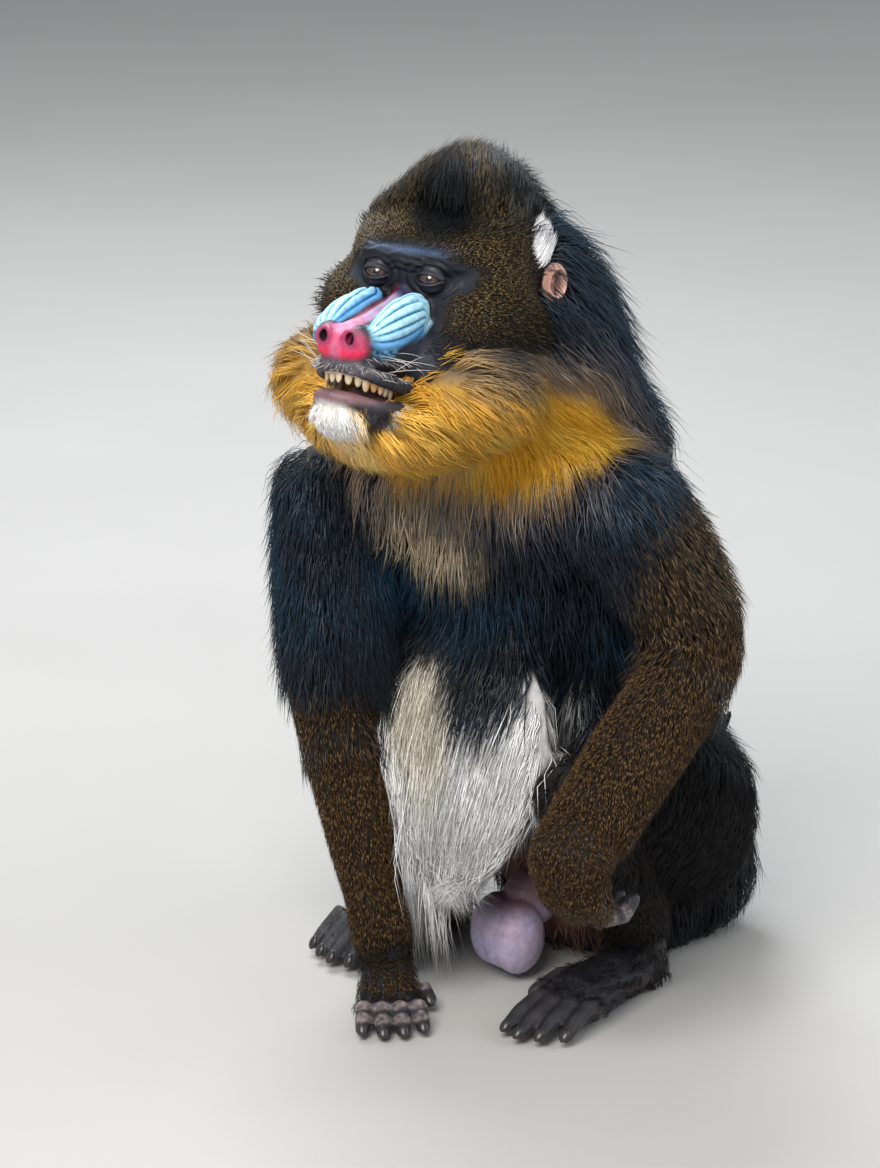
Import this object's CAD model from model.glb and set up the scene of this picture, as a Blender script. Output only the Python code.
import math

import bmesh
import bpy
import numpy as np
from mathutils import Matrix, Vector
from mathutils.bvhtree import BVHTree
from mathutils.kdtree import KDTree


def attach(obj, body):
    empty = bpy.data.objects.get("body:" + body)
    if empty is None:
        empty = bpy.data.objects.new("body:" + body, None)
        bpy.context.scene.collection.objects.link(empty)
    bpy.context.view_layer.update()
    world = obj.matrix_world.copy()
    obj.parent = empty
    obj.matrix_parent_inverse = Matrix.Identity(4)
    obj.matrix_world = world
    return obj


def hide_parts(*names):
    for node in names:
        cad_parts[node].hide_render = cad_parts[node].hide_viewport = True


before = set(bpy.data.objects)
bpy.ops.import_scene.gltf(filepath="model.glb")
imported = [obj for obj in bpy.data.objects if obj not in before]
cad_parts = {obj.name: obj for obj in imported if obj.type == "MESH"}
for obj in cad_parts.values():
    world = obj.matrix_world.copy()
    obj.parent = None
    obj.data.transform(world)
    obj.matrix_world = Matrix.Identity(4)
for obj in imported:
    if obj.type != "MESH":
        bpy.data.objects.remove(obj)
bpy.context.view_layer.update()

# A sitting adult male mandrill, life size. Metres, unless a comment says millimetres.
MM = 0.001
BODY_VOXEL = 0.0055
HEAD_VOXEL = 0.0020
DIGIT_VOXEL = 0.0019
COAT_DEPTH = 0.0075      # the skin lies this far inside the furred solids
BARE_DEPTH = 0.0006      # and this far where it is all but bare
WRIST_DEPTH = 0.003      # and this far round the wrists and ankles
ROOT_SINK = 0.0020       # of a tuft's root below the skin
FLOOR_GAP = 0.0012       # of any tuft above the ground
PATCH = 0.003            # side of a tuft's patch on the baking map
BARELY = 1e-9            # density where no tuft is wanted

# Joints of the skeleton, as in the part's source.
JOINTS = {
    "left": {
        "shoulder": Vector((0.112, -0.172, 0.448)),
        "elbow": Vector((0.160, -0.104, 0.318)),
        "wrist": Vector((0.176, -0.292, 0.196)),
        "hip": Vector((0.070, -0.012, 0.115)),
        "knee": Vector((0.112, -0.212, 0.190)),
        "ankle": Vector((0.098, -0.112, 0.042)),
        "toe": Vector((0.106, -0.262, 0.012)),
    },
    "right": {
        "shoulder": Vector((-0.134, -0.222, 0.430)),
        "elbow": Vector((-0.126, -0.246, 0.250)),
        "wrist": Vector((-0.040, -0.274, 0.042)),
        "hip": Vector((-0.070, -0.012, 0.115)),
        "knee": Vector((-0.112, -0.190, 0.190)),
        "ankle": Vector((-0.116, -0.107, 0.042)),
        "toe": Vector((-0.126, -0.215, 0.012)),
    },
}
SIDE_SIGN = {"left": 1.0, "right": -1.0}
EYE_MIDDLE = Vector((0.0, -0.294, 0.637))
HEAD_YAW = math.radians(10.0)
HEAD_PITCH = math.radians(9.0)
EYE_SPACING = 0.048
EYE_RADIUS = 0.0112
TRUNK = [
    (Vector((0.000, 0.002, 0.004)), 0.074, 0.072),
    (Vector((0.000, -0.010, 0.034)), 0.098, 0.098),
    (Vector((0.000, -0.024, 0.100)), 0.109, 0.109),
    (Vector((0.002, -0.040, 0.160)), 0.109, 0.106),
    (Vector((0.004, -0.068, 0.222)), 0.104, 0.098),
    (Vector((-0.004, -0.108, 0.310)), 0.112, 0.097),
    (Vector((-0.006, -0.136, 0.395)), 0.118, 0.094),
    (Vector((-0.002, -0.148, 0.450)), 0.112, 0.092),
    (Vector((0.000, -0.154, 0.505)), 0.098, 0.092),
    (Vector((0.004, -0.164, 0.560)), 0.086, 0.084),
    (Vector((0.012, -0.180, 0.606)), 0.074, 0.074),
]
CHEST_TURN = math.radians(8.0)

HEAD = (Matrix.Translation(EYE_MIDDLE) @ Matrix.Rotation(HEAD_YAW, 4, "Z")
        @ Matrix.Rotation(-HEAD_PITCH, 4, "X"))
HEAD_TURN = np.array(HEAD.to_3x3())
HEAD_PLACE = np.array(EYE_MIDDLE)

# The camera stands where the photographer's did.
CAMERA_AZIMUTH = math.radians(40.0)
CAMERA_ELEVATION = math.radians(18.0)
CAMERA_DISTANCE = 4.34
CAMERA_TARGET = Vector((-0.029, -0.218, 0.355))
PHOTO_HEIGHT = 1168
METRES_A_PIXEL = 0.00082


def make_camera():
    """A long lens that frames the animal as the photo does."""
    data = bpy.data.cameras.new("camera")
    data.sensor_fit = "AUTO"
    data.sensor_width = 36.0
    data.lens = 36.0 * CAMERA_DISTANCE / (PHOTO_HEIGHT * METRES_A_PIXEL)
    cam = bpy.data.objects.new("camera", data)
    bpy.context.scene.collection.objects.link(cam)
    level = math.cos(CAMERA_ELEVATION)
    back = Vector((math.sin(CAMERA_AZIMUTH) * level, -math.cos(CAMERA_AZIMUTH) * level,
                   math.sin(CAMERA_ELEVATION)))
    cam.location = CAMERA_TARGET + back * CAMERA_DISTANCE
    cam.rotation_mode = "QUATERNION"
    cam.rotation_quaternion = (-back).to_track_quat("-Z", "Y")
    bpy.context.scene.camera = cam
    return cam


make_camera()


# Arrays of places, and the head's own frame: x to its left, y backward, z up, in millimetres.
def to_head(points):
    """World places in the head's frame."""
    return (points - HEAD_PLACE) @ HEAD_TURN / MM


def from_head(local):
    """Places of the head's frame in the world."""
    return np.asarray(local, float) * MM @ HEAD_TURN.T + HEAD_PLACE


def step(low, high, value):
    """0 below low, 1 above high, and smooth between. low may be the larger."""
    t = np.clip((value - low) / (high - low), 0.0, 1.0)
    return t * t * (3 - 2 * t)


def unit(vectors):
    """The same directions, one long."""
    return vectors / np.maximum(np.linalg.norm(vectors, axis=-1, keepdims=True), 1e-9)


def mix(a, b, share):
    """From a to b by share, for values or for colours and vectors."""
    share = np.asarray(share)
    if any(np.ndim(v) and np.shape(v)[-1] == 3 and np.shape(v) != share.shape for v in (a, b)):
        share = share[..., None]
    return a * (1 - share) + b * share


def blob(points, centre, radii, edge=0.35):
    """1 inside an ellipsoid, 0 outside, with a soft edge."""
    reach = np.linalg.norm((points - np.array(centre)) / np.array(radii), axis=1)
    return step(1 + edge, 1 - edge, reach)


def ripple(points, scale, seed=0.0):
    """Smooth cheap noise between -1 and 1."""
    x, y, z = (points * scale).T
    value = np.sin(x * 1.7 + 1.3 * np.sin(y * 1.1 + seed) + seed)
    value = value + np.sin(y * 2.3 + 1.7 * np.sin(z * 1.9 + seed * 2) + 2.1)
    value = value + np.sin(z * 2.9 + 1.1 * np.sin(x * 2.7 + seed * 3) + 4.2)
    return value / 3


def mirrored(local):
    """Places folded over to the animal's left side."""
    return np.column_stack([np.abs(local[:, 0]), local[:, 1], local[:, 2]])


# Meshes.
def new_object(name, data):
    obj = bpy.data.objects.new(name, data)
    bpy.context.scene.collection.objects.link(obj)
    return obj


def mesh_object(name, points, faces):
    mesh = bpy.data.meshes.new(name)
    mesh.from_pydata([tuple(p) for p in points], [], [tuple(f) for f in faces])
    mesh.update()
    return new_object(name, mesh)


def face_outwards(obj):
    """Turns a closed mesh's faces to its outside."""
    made = bmesh.new()
    made.from_mesh(obj.data)
    bmesh.ops.recalc_face_normals(made, faces=made.faces)
    if made.calc_volume(signed=True) < 0:
        bmesh.ops.reverse_faces(made, faces=made.faces)
    made.to_mesh(obj.data)
    made.free()


def loft(name, rings):
    """A closed tube through rings of points, each ring a list of the same length."""
    count = len(rings[0])
    points = [p for ring in rings for p in ring]
    faces = []
    for i in range(len(rings) - 1):
        for j in range(count):
            k = (j + 1) % count
            faces.append((i * count + j, i * count + k, (i + 1) * count + k, (i + 1) * count + j))
    faces.append(tuple(reversed(range(count))))
    faces.append(tuple(range(len(points) - count, len(points))))
    obj = mesh_object(name, points, faces)
    face_outwards(obj)
    return obj


def limb(name, stations, side=Vector((1, 0, 0)), count=24):
    """A round-ended limb through (centre, half width, half depth) stations."""
    first, second, before, last = stations[0], stations[1], stations[-2], stations[-1]
    ahead = (first[0] - second[0]).normalized() * first[1] * 0.6
    behind = (last[0] - before[0]).normalized() * last[1] * 0.6
    stations = [(first[0] + ahead, first[1] * 0.55, first[2] * 0.55), *stations,
                (last[0] + behind, last[1] * 0.55, last[2] * 0.55)]
    rings = []
    for i, (centre, width, depth) in enumerate(stations):
        after = stations[min(i + 1, len(stations) - 1)][0]
        along = (after - stations[max(i - 1, 0)][0]).normalized()
        across = (side - along * side.dot(along)).normalized()
        up = along.cross(across)
        turns = [2 * math.pi * j / count for j in range(count)]
        rings.append([centre + across * width * math.cos(a) + up * depth * math.sin(a)
                      for a in turns])
    return loft(name, rings)


def ball(name, centre, radii, segments=32):
    """An ellipsoid."""
    made = bmesh.new()
    bmesh.ops.create_uvsphere(made, u_segments=segments, v_segments=segments // 2, radius=1.0)
    mesh = bpy.data.meshes.new(name)
    made.to_mesh(mesh)
    made.free()
    mesh.transform(Matrix.Translation(centre) @ Matrix.Diagonal((*radii, 1.0)))
    return new_object(name, mesh)


def head_ball(name, centre, radii, tilt=0.0, twist=0.0, segments=32):
    """An ellipsoid in the head's frame, in millimetres."""
    local = Matrix.Translation(Vector(centre) * MM) @ Matrix.Rotation(twist, 4, "Z")
    local = local @ Matrix.Rotation(tilt, 4, "X") @ Matrix.Diagonal((*(r * MM for r in radii), 1))
    obj = ball(name, Vector(), (1, 1, 1), segments)
    obj.data.transform(HEAD @ local)
    return obj


def head_tube(name, places, radii, flat=1.0, count=16):
    """A tube through places in the head's frame, in millimetres."""
    stations = [(Vector(p) * MM, r * MM, r * MM * flat) for p, r in zip(places, radii)]
    obj = limb(name, stations, Vector((0, 0, 1)), count)
    obj.data.transform(HEAD)
    face_outwards(obj)
    return obj


def apply_modifiers(obj):
    """Leaves the object the plain mesh that its modifiers make."""
    graph = bpy.context.evaluated_depsgraph_get()
    graph.update()
    mesh = bpy.data.meshes.new_from_object(obj.evaluated_get(graph))
    obj.modifiers.clear()
    old = obj.data
    obj.data = mesh
    bpy.data.meshes.remove(old)


def join(name, pieces):
    """One object with the meshes of all the pieces, which go."""
    made = bmesh.new()
    for piece in pieces:
        made.from_mesh(piece.data)
    mesh = bpy.data.meshes.new(name)
    made.to_mesh(mesh)
    made.free()
    for piece in pieces:
        bpy.data.objects.remove(piece, do_unlink=True)
    return new_object(name, mesh)


def blend(name, pieces, voxel, smoothing):
    """The pieces grown together into one smooth closed body."""
    obj = join(name, pieces)
    remesh = obj.modifiers.new("Remesh", "REMESH")
    remesh.mode = "VOXEL"
    remesh.voxel_size = voxel
    if smoothing:
        smooth = obj.modifiers.new("Smooth", "SMOOTH")
        smooth.factor = 0.5
        smooth.iterations = smoothing
    apply_modifiers(obj)
    return obj


def boolean(obj, other, operation):
    """Cuts obj with another closed shape, which goes."""
    modifier = obj.modifiers.new(operation, "BOOLEAN")
    modifier.operation = operation
    modifier.solver = "MANIFOLD"
    modifier.object = other
    apply_modifiers(obj)
    bpy.data.objects.remove(other, do_unlink=True)
    return obj


def places_of(obj):
    values = np.empty(len(obj.data.vertices) * 3)
    obj.data.vertices.foreach_get("co", values)
    return values.reshape(-1, 3)


def normals_of(obj):
    values = np.empty(len(obj.data.vertices) * 3)
    obj.data.vertex_normals.foreach_get("vector", values)
    return values.reshape(-1, 3)


def put_places(obj, points):
    obj.data.vertices.foreach_set("co", points.ravel())
    obj.data.update()


def put_colour(obj, name, colours):
    """A colour for each vertex, which the finish reads."""
    layer = obj.data.color_attributes.new(name, "FLOAT_COLOR", "POINT")
    layer.data.foreach_set("color", np.column_stack([colours, np.ones(len(colours))]).ravel())


def put_value(obj, name, values):
    """A number for each vertex."""
    layer = obj.data.attributes.new(name, "FLOAT", "POINT")
    layer.data.foreach_set("value", np.asarray(values, np.float32))


def smooth_faces(obj):
    obj.data.polygons.foreach_set("use_smooth", np.ones(len(obj.data.polygons), bool))


def dress(obj, finish):
    """Gives the whole of a piece one finish."""
    obj.data.materials.clear()
    obj.data.materials.append(finish)
    obj.data.polygons.foreach_set("material_index", np.zeros(len(obj.data.polygons), np.int32))
    smooth_faces(obj)


# Trees of nodes.
class Nodes:
    """A tree's nodes, added one by one. An input is named, or numbered as i0, i1 and on."""

    def add(self, kind, settings=None, family=None, **inputs):
        node = self.tree.nodes.new((family or self.family) + kind)
        for key, value in (settings or {}).items():
            setattr(node, key, value)
        for key, value in inputs.items():
            self.put(node, key, value)
        return node

    def put(self, node, key, value):
        socket = node.inputs[int(key[1:])] if key[0] == "i" and key[1:].isdigit() \
            else node.inputs[key.replace("_", " ")]
        if isinstance(value, bpy.types.NodeSocket):
            self.tree.links.new(value, socket)
        else:
            socket.default_value = value


class Shaper(Nodes):
    """Geometry nodes with named inputs for their sizes, which leave a plain mesh."""

    family = "GeometryNode"

    def __init__(self, name, sizes):
        self.tree = bpy.data.node_groups.new(name, "GeometryNodeTree")
        self.sizes = sizes
        face = self.tree.interface
        face.new_socket("Geometry", in_out="OUTPUT", socket_type="NodeSocketGeometry")
        face.new_socket("Geometry", in_out="INPUT", socket_type="NodeSocketGeometry")
        for key, value in sizes.items():
            kind = "NodeSocketInt" if isinstance(value, int) else "NodeSocketFloat"
            face.new_socket(key, in_out="INPUT", socket_type=kind)
        self.given = self.tree.nodes.new("NodeGroupInput").outputs

    def named(self, name, kind):
        """A value that each point of the mesh brings with it."""
        return self.add("InputNamedAttribute", {"data_type": kind}, Name=name).outputs[0]

    def finish(self, instances, material):
        """The tree's end. The empty slot that Blender leaves is cleared once it has run."""
        self.material = material
        plain = self.add("RealizeInstances", Geometry=instances).outputs[0]
        dressed = self.add("SetMaterial", Geometry=plain, Material=material).outputs[0]
        self.tree.links.new(dressed, self.tree.nodes.new("NodeGroupOutput").inputs[0])

    def shape(self, obj):
        """Runs the tree on an object's points, and leaves its result as the object's mesh."""
        brought = [layer.name for layer in obj.data.attributes if layer.name != "position"]
        modifier = obj.modifiers.new("Shape", "NODES")
        modifier.node_group = self.tree
        for item in self.tree.interface.items_tree:
            if item.in_out == "INPUT" and item.name in self.sizes:
                modifier[item.identifier] = self.sizes[item.name]
        apply_modifiers(obj)
        for name in brought:
            if name in obj.data.attributes:
                obj.data.attributes.remove(obj.data.attributes[name])
        dress(obj, self.material)


class Net(Nodes):
    """A material's nodes round its one shader."""

    family = "ShaderNode"

    def __init__(self, name):
        self.material = bpy.data.materials.new(name)
        self.material.use_nodes = True
        self.tree = self.material.node_tree
        self.shader = self.tree.nodes["Principled BSDF"]

    def maths(self, operation, a, b=0.0, c=0.0):
        return self.add("Math", {"operation": operation}, i0=a, i1=b, i2=c).outputs[0]

    def colour_mix(self, share, a, b, way="MIX"):
        node = self.add("Mix", {"data_type": "RGBA", "blend_type": way, "clamp_result": False})
        self.put(node, "i0", share)
        self.put(node, "i6", a)
        self.put(node, "i7", b)
        return node.outputs[2]

    def attribute(self, name):
        return self.add("Attribute", {"attribute_name": name})

    def noise(self, scale, detail=3.0, roughness=0.5, distortion=0.0, stretch=None):
        where = self.add("TexCoord").outputs["Object"]
        if stretch:
            where = self.add("Mapping", Vector=where, Scale=stretch).outputs[0]
        return self.add("TexNoise", Vector=where, Scale=scale, Detail=detail,
                        Roughness=roughness, Distortion=distortion)

    def range(self, value, low, high, to_low=0.0, to_high=1.0):
        """The value moved from one range to another, and held inside it."""
        return self.add("MapRange", Value=value, From_Min=low, From_Max=high,
                        To_Min=to_low, To_Max=to_high).outputs[0]

    def bump(self, height, distance, strength=1.0):
        return self.add("Bump", Height=height, Distance=distance, Strength=strength).outputs[0]

    def finish(self, **inputs):
        """Sets the shader's inputs and gives the material."""
        for key, value in inputs.items():
            self.put(self.shader, key, value)
        return self.material


# Finishes.
def coat_finish(name, roughness, specular, fleck_colour, root_shade=0.35, spread=0.23):
    """Hair: darker at its roots, each tuft a little different, with pale bands where flecked."""
    net = Net(name)
    tone = net.attribute("tone").outputs["Color"]
    along = net.attribute("along").outputs["Fac"]
    chance = net.attribute("chance").outputs["Fac"]
    fleck = net.attribute("fleck").outputs["Fac"]
    light = net.range(chance, 0.0, 1.0, 1.0 - spread, 1.0 + spread)
    depth = net.range(along, 0.0, 0.55, root_shade, 1.0)
    shade = net.maths("MULTIPLY", light, depth)
    toned = net.colour_mix(1.0, tone, net.add("CombineColor", i0=shade, i1=shade, i2=shade)
                           .outputs[0], "MULTIPLY")
    phase = net.maths("MULTIPLY_ADD", along, 13.0, net.maths("MULTIPLY", chance, 37.0))
    band = net.range(net.maths("SINE", phase), 0.45, 0.95)
    band = net.maths("MULTIPLY", band, fleck)
    colour = net.colour_mix(band, toned, fleck_colour)
    return net.finish(Base_Color=colour, Roughness=roughness, Specular_IOR_Level=specular)


def skin_finish(name, roughness=0.55, grain=900.0, depth=0.0004, specular=0.45, coat=0.0):
    """Bare skin: the mesh's own colours, mottled, with a fine relief of pores."""
    net = Net(name)
    tone = net.attribute("tone").outputs["Color"]
    mottle = net.noise(160.0, 4.0, 0.6).outputs["Fac"]
    shade = net.range(mottle, 0.3, 0.7, 0.80, 1.18)
    colour = net.colour_mix(1.0, tone, net.add("CombineColor", i0=shade, i1=shade, i2=shade)
                            .outputs[0], "MULTIPLY")
    where = net.add("TexCoord").outputs["Object"]
    cells = net.add("TexVoronoi", {"feature": "DISTANCE_TO_EDGE"}, Vector=where, Scale=grain)
    pore = net.range(cells.outputs["Distance"], 0.0, 0.25)
    height = net.maths("MULTIPLY_ADD", net.noise(grain * 0.4, 3.0).outputs["Fac"], 0.6, pore)
    rough = net.range(mottle, 0.3, 0.7, roughness - 0.07, roughness + 0.09)
    return net.finish(Base_Color=colour, Roughness=rough, Specular_IOR_Level=specular,
                      Coat_Weight=coat, Normal=net.bump(height, depth, 0.6))


def tint(red, green, blue):
    """A colour as the eye sees it, turned to the linear values that a shader takes."""
    values = np.array([red, green, blue]) / 255.0
    return np.where(values <= 0.04045, values / 12.92, ((values + 0.055) / 1.055) ** 2.4)


NAVY_BLACK = tint(17, 22, 33)
NAVY = tint(20, 32, 48)
TEAL = tint(23, 66, 90)
BROWN = tint(52, 36, 23)
OLIVE = tint(33, 27, 20)
CHEEK_GREY = tint(34, 32, 34)
GOLD = tint(255, 208, 78)
DEEP_GOLD = tint(255, 180, 26)
PALE_GOLD = tint(255, 234, 170)
CREAM = tint(255, 255, 255)
WARM_CREAM = tint(255, 247, 228)
LEG_BLACK = tint(17, 18, 23)
BARE_PINK = tint(134, 94, 82)
LAVENDER = tint(178, 172, 206)
RUMP_BLUE = tint(96, 116, 176)
FINGER_PINK = tint(196, 176, 178)
SKIN_BLACK = tint(28, 27, 32)


class Area:
    """An area of the body along a bone: its ends and radius, the way its hair lies, the hair's
    length, how far its tips rise, how much it hangs, tuft width, share of flecks and colour."""

    def __init__(self, name, start, end, radius, flow, length, rise, hang, width, fleck, colour):
        self.name = name
        self.start = np.array(start)
        self.end = np.array(end)
        self.radius = radius
        self.flow = flow
        self.values = (length, rise, hang, width, fleck)
        self.colour = colour

    def reach(self, points):
        """Distance of each place from the bone."""
        along = self.end - self.start
        share = np.clip((points - self.start) @ along / (along @ along), 0, 1)
        return np.linalg.norm(points - self.start - share[:, None] * along, axis=1)


# The way that hair lies, at places p.
def mantle_flow(p):
    return np.column_stack([p[:, 0] * 2.2, np.where(p[:, 1] > -0.15, 0.25, 0.05), -np.ones(len(p))])


def flank_flow(p):
    return np.column_stack([p[:, 0] * 1.2, np.full(len(p), 0.10), -np.ones(len(p))])


def nape_flow(p):
    return np.column_stack([p[:, 0] * 1.5, np.full(len(p), 0.55), -np.ones(len(p))])


def bone_flow(start, end, sag=0.0):
    """Along a bone, sagging a little."""
    way = np.array((end - start).normalized()) + np.array((0, 0, -sag))
    return lambda p: np.tile(way, (len(p), 1))


def body_areas():
    """The trunk's four areas, and then each side's limbs from the shoulder to the foot."""
    areas = [
        Area("pelvis", (0, 0, 0.03), (0, -0.04, 0.16), 0.104, flank_flow,
             0.046, 0.009, 0.1, 0.0012, 0.0, NAVY_BLACK),
        Area("waist", (0, -0.04, 0.16), (-0.004, -0.108, 0.31), 0.104, flank_flow,
             0.056, 0.009, 0.1, 0.0012, 0.0, NAVY_BLACK),
        Area("chest", (-0.004, -0.108, 0.31), (0, -0.15, 0.47), 0.112, mantle_flow,
             0.074, 0.015, 0.12, 0.0013, 0.0, NAVY),
        Area("neck", (0, -0.154, 0.505), (0.012, -0.18, 0.606), 0.082, nape_flow,
             0.080, 0.020, 0.15, 0.0013, 0.0, NAVY),
    ]
    for side, j in JOINTS.items():
        left = side == "left"
        knuckle = j["wrist"] + (Vector((0, -0.004, -0.050)) if left
                                else Vector((0.026, -0.026, -0.020)))
        areas += [
            Area("upper_arm_" + side, j["shoulder"], j["elbow"], 0.048,
                 bone_flow(j["shoulder"], j["elbow"], 0.3), 0.052, 0.012, 0.15, 0.0012, 0.0, NAVY),
            Area("forearm_" + side, j["elbow"], j["wrist"], 0.042 if left else 0.034,
                 bone_flow(j["elbow"], j["wrist"], 0.4), 0.019, 0.005, 0.1, 0.00095, 0.75, BROWN),
            Area("hand_" + side, j["wrist"], knuckle, 0.033 if left else 0.022,
                 bone_flow(j["wrist"], knuckle), 0.014 if left else 0.009, 0.004, 0.1, 0.0009,
                 0.6 if left else 0.2, BROWN if left else LEG_BLACK),
            Area("thigh_" + side, j["hip"], j["knee"], 0.060,
                 bone_flow(j["hip"], j["knee"], 0.9), 0.030, 0.006, 0.15, 0.0011, 0.06, LEG_BLACK),
            Area("shank_" + side, j["knee"], j["ankle"], 0.034,
                 bone_flow(j["knee"], j["ankle"], 0.3), 0.022, 0.005, 0.15, 0.0010, 0.12,
                 LEG_BLACK),
            Area("foot_" + side, j["ankle"], j["ankle"].lerp(j["toe"], 0.40), 0.022,
                 bone_flow(j["ankle"], j["toe"]), 0.009, 0.003, 0.1, 0.0008, 0.0, LEG_BLACK),
        ]
    return areas


BODY_AREAS = body_areas()
TRUNK_AREAS = 4


def area_shares(points):
    """How much each area has of each place."""
    gaps = []
    for area in BODY_AREAS:
        reach = area.reach(points)
        gaps.append(np.abs(reach - area.radius) + np.maximum(reach - area.radius, 0) * 1.5 + 0.006)
    weights = 1 / np.array(gaps).T ** 3
    return weights / weights.sum(axis=1, keepdims=True)


def share_of(shares, *names):
    """What the areas whose names start with one of these have of each place."""
    return sum(shares[:, i] for i, area in enumerate(BODY_AREAS) if area.name.startswith(names))


def lay(fields, share, **wanted):
    """Turns fields toward the wanted values, by each place's share."""
    for key, value in wanted.items():
        fields[key] = mix(fields[key], value, share)


def ruff_reach(local):
    """How far a place is from the middle of the golden ruff, 1 at the gold's edge."""
    x, y, z = local.T
    right = step(0, -40, x)
    middle = -112 - 0.22 * np.maximum(40 - y, 0) * (1 - 0.6 * right) \
        + right * (14 * step(40, 0, y) - 12 * step(30, 70, y))
    high = np.where(z > middle, (z - middle) / 46, (z - middle) / 23)
    back = np.maximum(y - 60, 0) / 52
    out = np.maximum(np.abs(x) - 100, 0) / 22
    return np.sqrt(high ** 2 + back ** 2 + out ** 2)


def ruff_tone(colour, local, share):
    """Gold in the ruff's middle, then tan, brown and grey toward the mantle and the cheeks."""
    reach = ruff_reach(local)
    gold = mix(GOLD, DEEP_GOLD, 0.5 + 0.5 * ripple(local, 0.06, 2.0))
    for tone, start, end in ((tint(92, 90, 98), 2.5, 2.0), (tint(152, 132, 112), 2.0, 1.6),
                             (tint(212, 172, 112), 1.5, 1.15), (gold, 1.2, 0.95)):
        colour = mix(colour, tone, step(start, end, reach) * share)
    return colour


def lay_arms(fields, points):
    """Teal gloss over breast, mantle and right arm, and brown outside the left upper arm."""
    gloss = step(-0.25, 0.65, ripple(points, 21.0, 0.7)) * step(0.24, 0.34, points[:, 2])
    lay(fields, gloss * 0.62 * step(0.10, -0.02, points[:, 1]) * (1 - fields["fleck"]),
        colour=TEAL)
    outside = blob(points, (0.176, -0.125, 0.385), (0.058, 0.085, 0.085), 0.35)
    lay(fields, outside * step(0.080, 0.115, points[:, 0]), colour=BROWN, fleck=0.7,
        length=0.034)


def lay_ruff(fields, local, trunk):
    """The ruff runs back round the neck from under the jaw."""
    ruff = step(1.7, 1.35, ruff_reach(local)) * step(-30, -50, local[:, 2]) * trunk
    way = np.column_stack([np.sign(local[:, 0]) * np.where(local[:, 1] < 20, 0.50, 0.15),
                           np.ones(len(local)), np.full(len(local), -0.60)]) @ HEAD_TURN.T
    lay(fields, ruff, flow=unit(way), length=0.058, rise=0.013, width=0.00085, fleck=0.0)
    shaded = step(-80, -62, local[:, 2]) * step(30, 0, local[:, 1])
    fields["colour"] = ruff_tone(fields["colour"], local,
                                 trunk * step(-5, -25, local[:, 2]) * (1 - 0.8 * shaded))
    return ruff


def lay_breast(fields, points):
    """Tan below the beard, and long hair that closes the right armpit."""
    breast = blob(points, (-0.022, -0.232, 0.436), (0.036, 0.060, 0.022), 0.7)
    lay(fields, breast * 0.92, colour=tint(250, 226, 186))
    armpit = blob(points, (-0.082, -0.206, 0.352), (0.036, 0.050, 0.075), 0.4)
    lay(fields, armpit, rise=0.030, hang=0.5, length=0.085, flow=np.array((-0.45, -0.15, -0.9)))
    return armpit


BELLY_TIP = (-0.004, -0.274, 0.016)    # where the white fringe comes to its end
TIP_SPREAD = 0.33                      # of each hair's own distance from the middle


def belly_share(points, arms):
    """1 on the belly's white: below a ragged top, between the thighs, and not on the arms."""
    x, y, z = points.T
    top = 0.268 + np.where(x < 0.010, np.minimum(0.010 - x, 0.042), 0.4 * (x - 0.010))
    top = top + 0.006 * ripple(points, 90.0)
    left = np.minimum(0.040 + 0.9 * np.maximum(0.312 - z, 0),
                      0.086 - 0.32 * np.maximum(0.21 - z, 0))
    right = 0.084 - 0.35 * np.maximum(0.23 - z, 0)
    belly = step(0.010, -0.006, z - top) * step(0.008, -0.006, np.maximum(-x - left, x - right))
    belly = belly * step(-0.150, -0.175, y) * step(0.060, 0.085, z)
    return belly * step(0.45, 0.25, arms)


def lay_belly(fields, points, arms):
    """White, warmer at its top right, and all of it drawn down to the fringe's tip."""
    belly = belly_share(points, arms)
    x, _, z = points.T
    tip = np.array(BELLY_TIP) + np.column_stack([x * TIP_SPREAD, 0 * x, 0 * x]) - points
    longest = np.linalg.norm(tip, axis=1) * 1.04
    length = np.minimum(np.clip(0.090 + (0.26 - z) * 0.80, 0.080, 0.190), longest)
    warm = step(0.016, -0.020, x) * step(0.22, 0.27, z)
    lay(fields, belly, colour=mix(CREAM, WARM_CREAM, warm), flow=unit(tip), length=length,
        hang=mix(0.15, 1.0, step(0.215, 0.165, z)), rise=0.010, width=0.0010, fleck=0.0)
    return belly


def lay_bare_skin(fields, points, normals, legs):
    """The rump, bare and coloured round the tail, and the groin and inner legs, all but bare."""
    rump = blob(points, (0.0, 0.095, 0.062), (0.058, 0.060, 0.050), 0.25)
    middle = step(0.045, 0.020, np.abs(points[:, 0]))
    lay(fields, rump, colour=mix(RUMP_BLUE, tint(196, 96, 120), middle))
    fields["length"] = fields["length"] * (1 - 0.9 * rump)
    groin = blob(points, (0.0, -0.135, 0.075), (0.075, 0.070, 0.060), 0.3)
    inner = step(0.10, 0.70, -np.sign(points[:, 0]) * normals[:, 0]) * legs
    inner = inner * step(0.20, 0.15, points[:, 2])
    lay(fields, groin * 0.9, colour=BARE_PINK)
    lay(fields, inner * 0.7, colour=BARE_PINK)
    lay(fields, np.maximum(groin, inner * 0.6), length=0.014)
    return np.clip(rump + groin * 0.8 + inner * 0.45, 0, 1)


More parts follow.
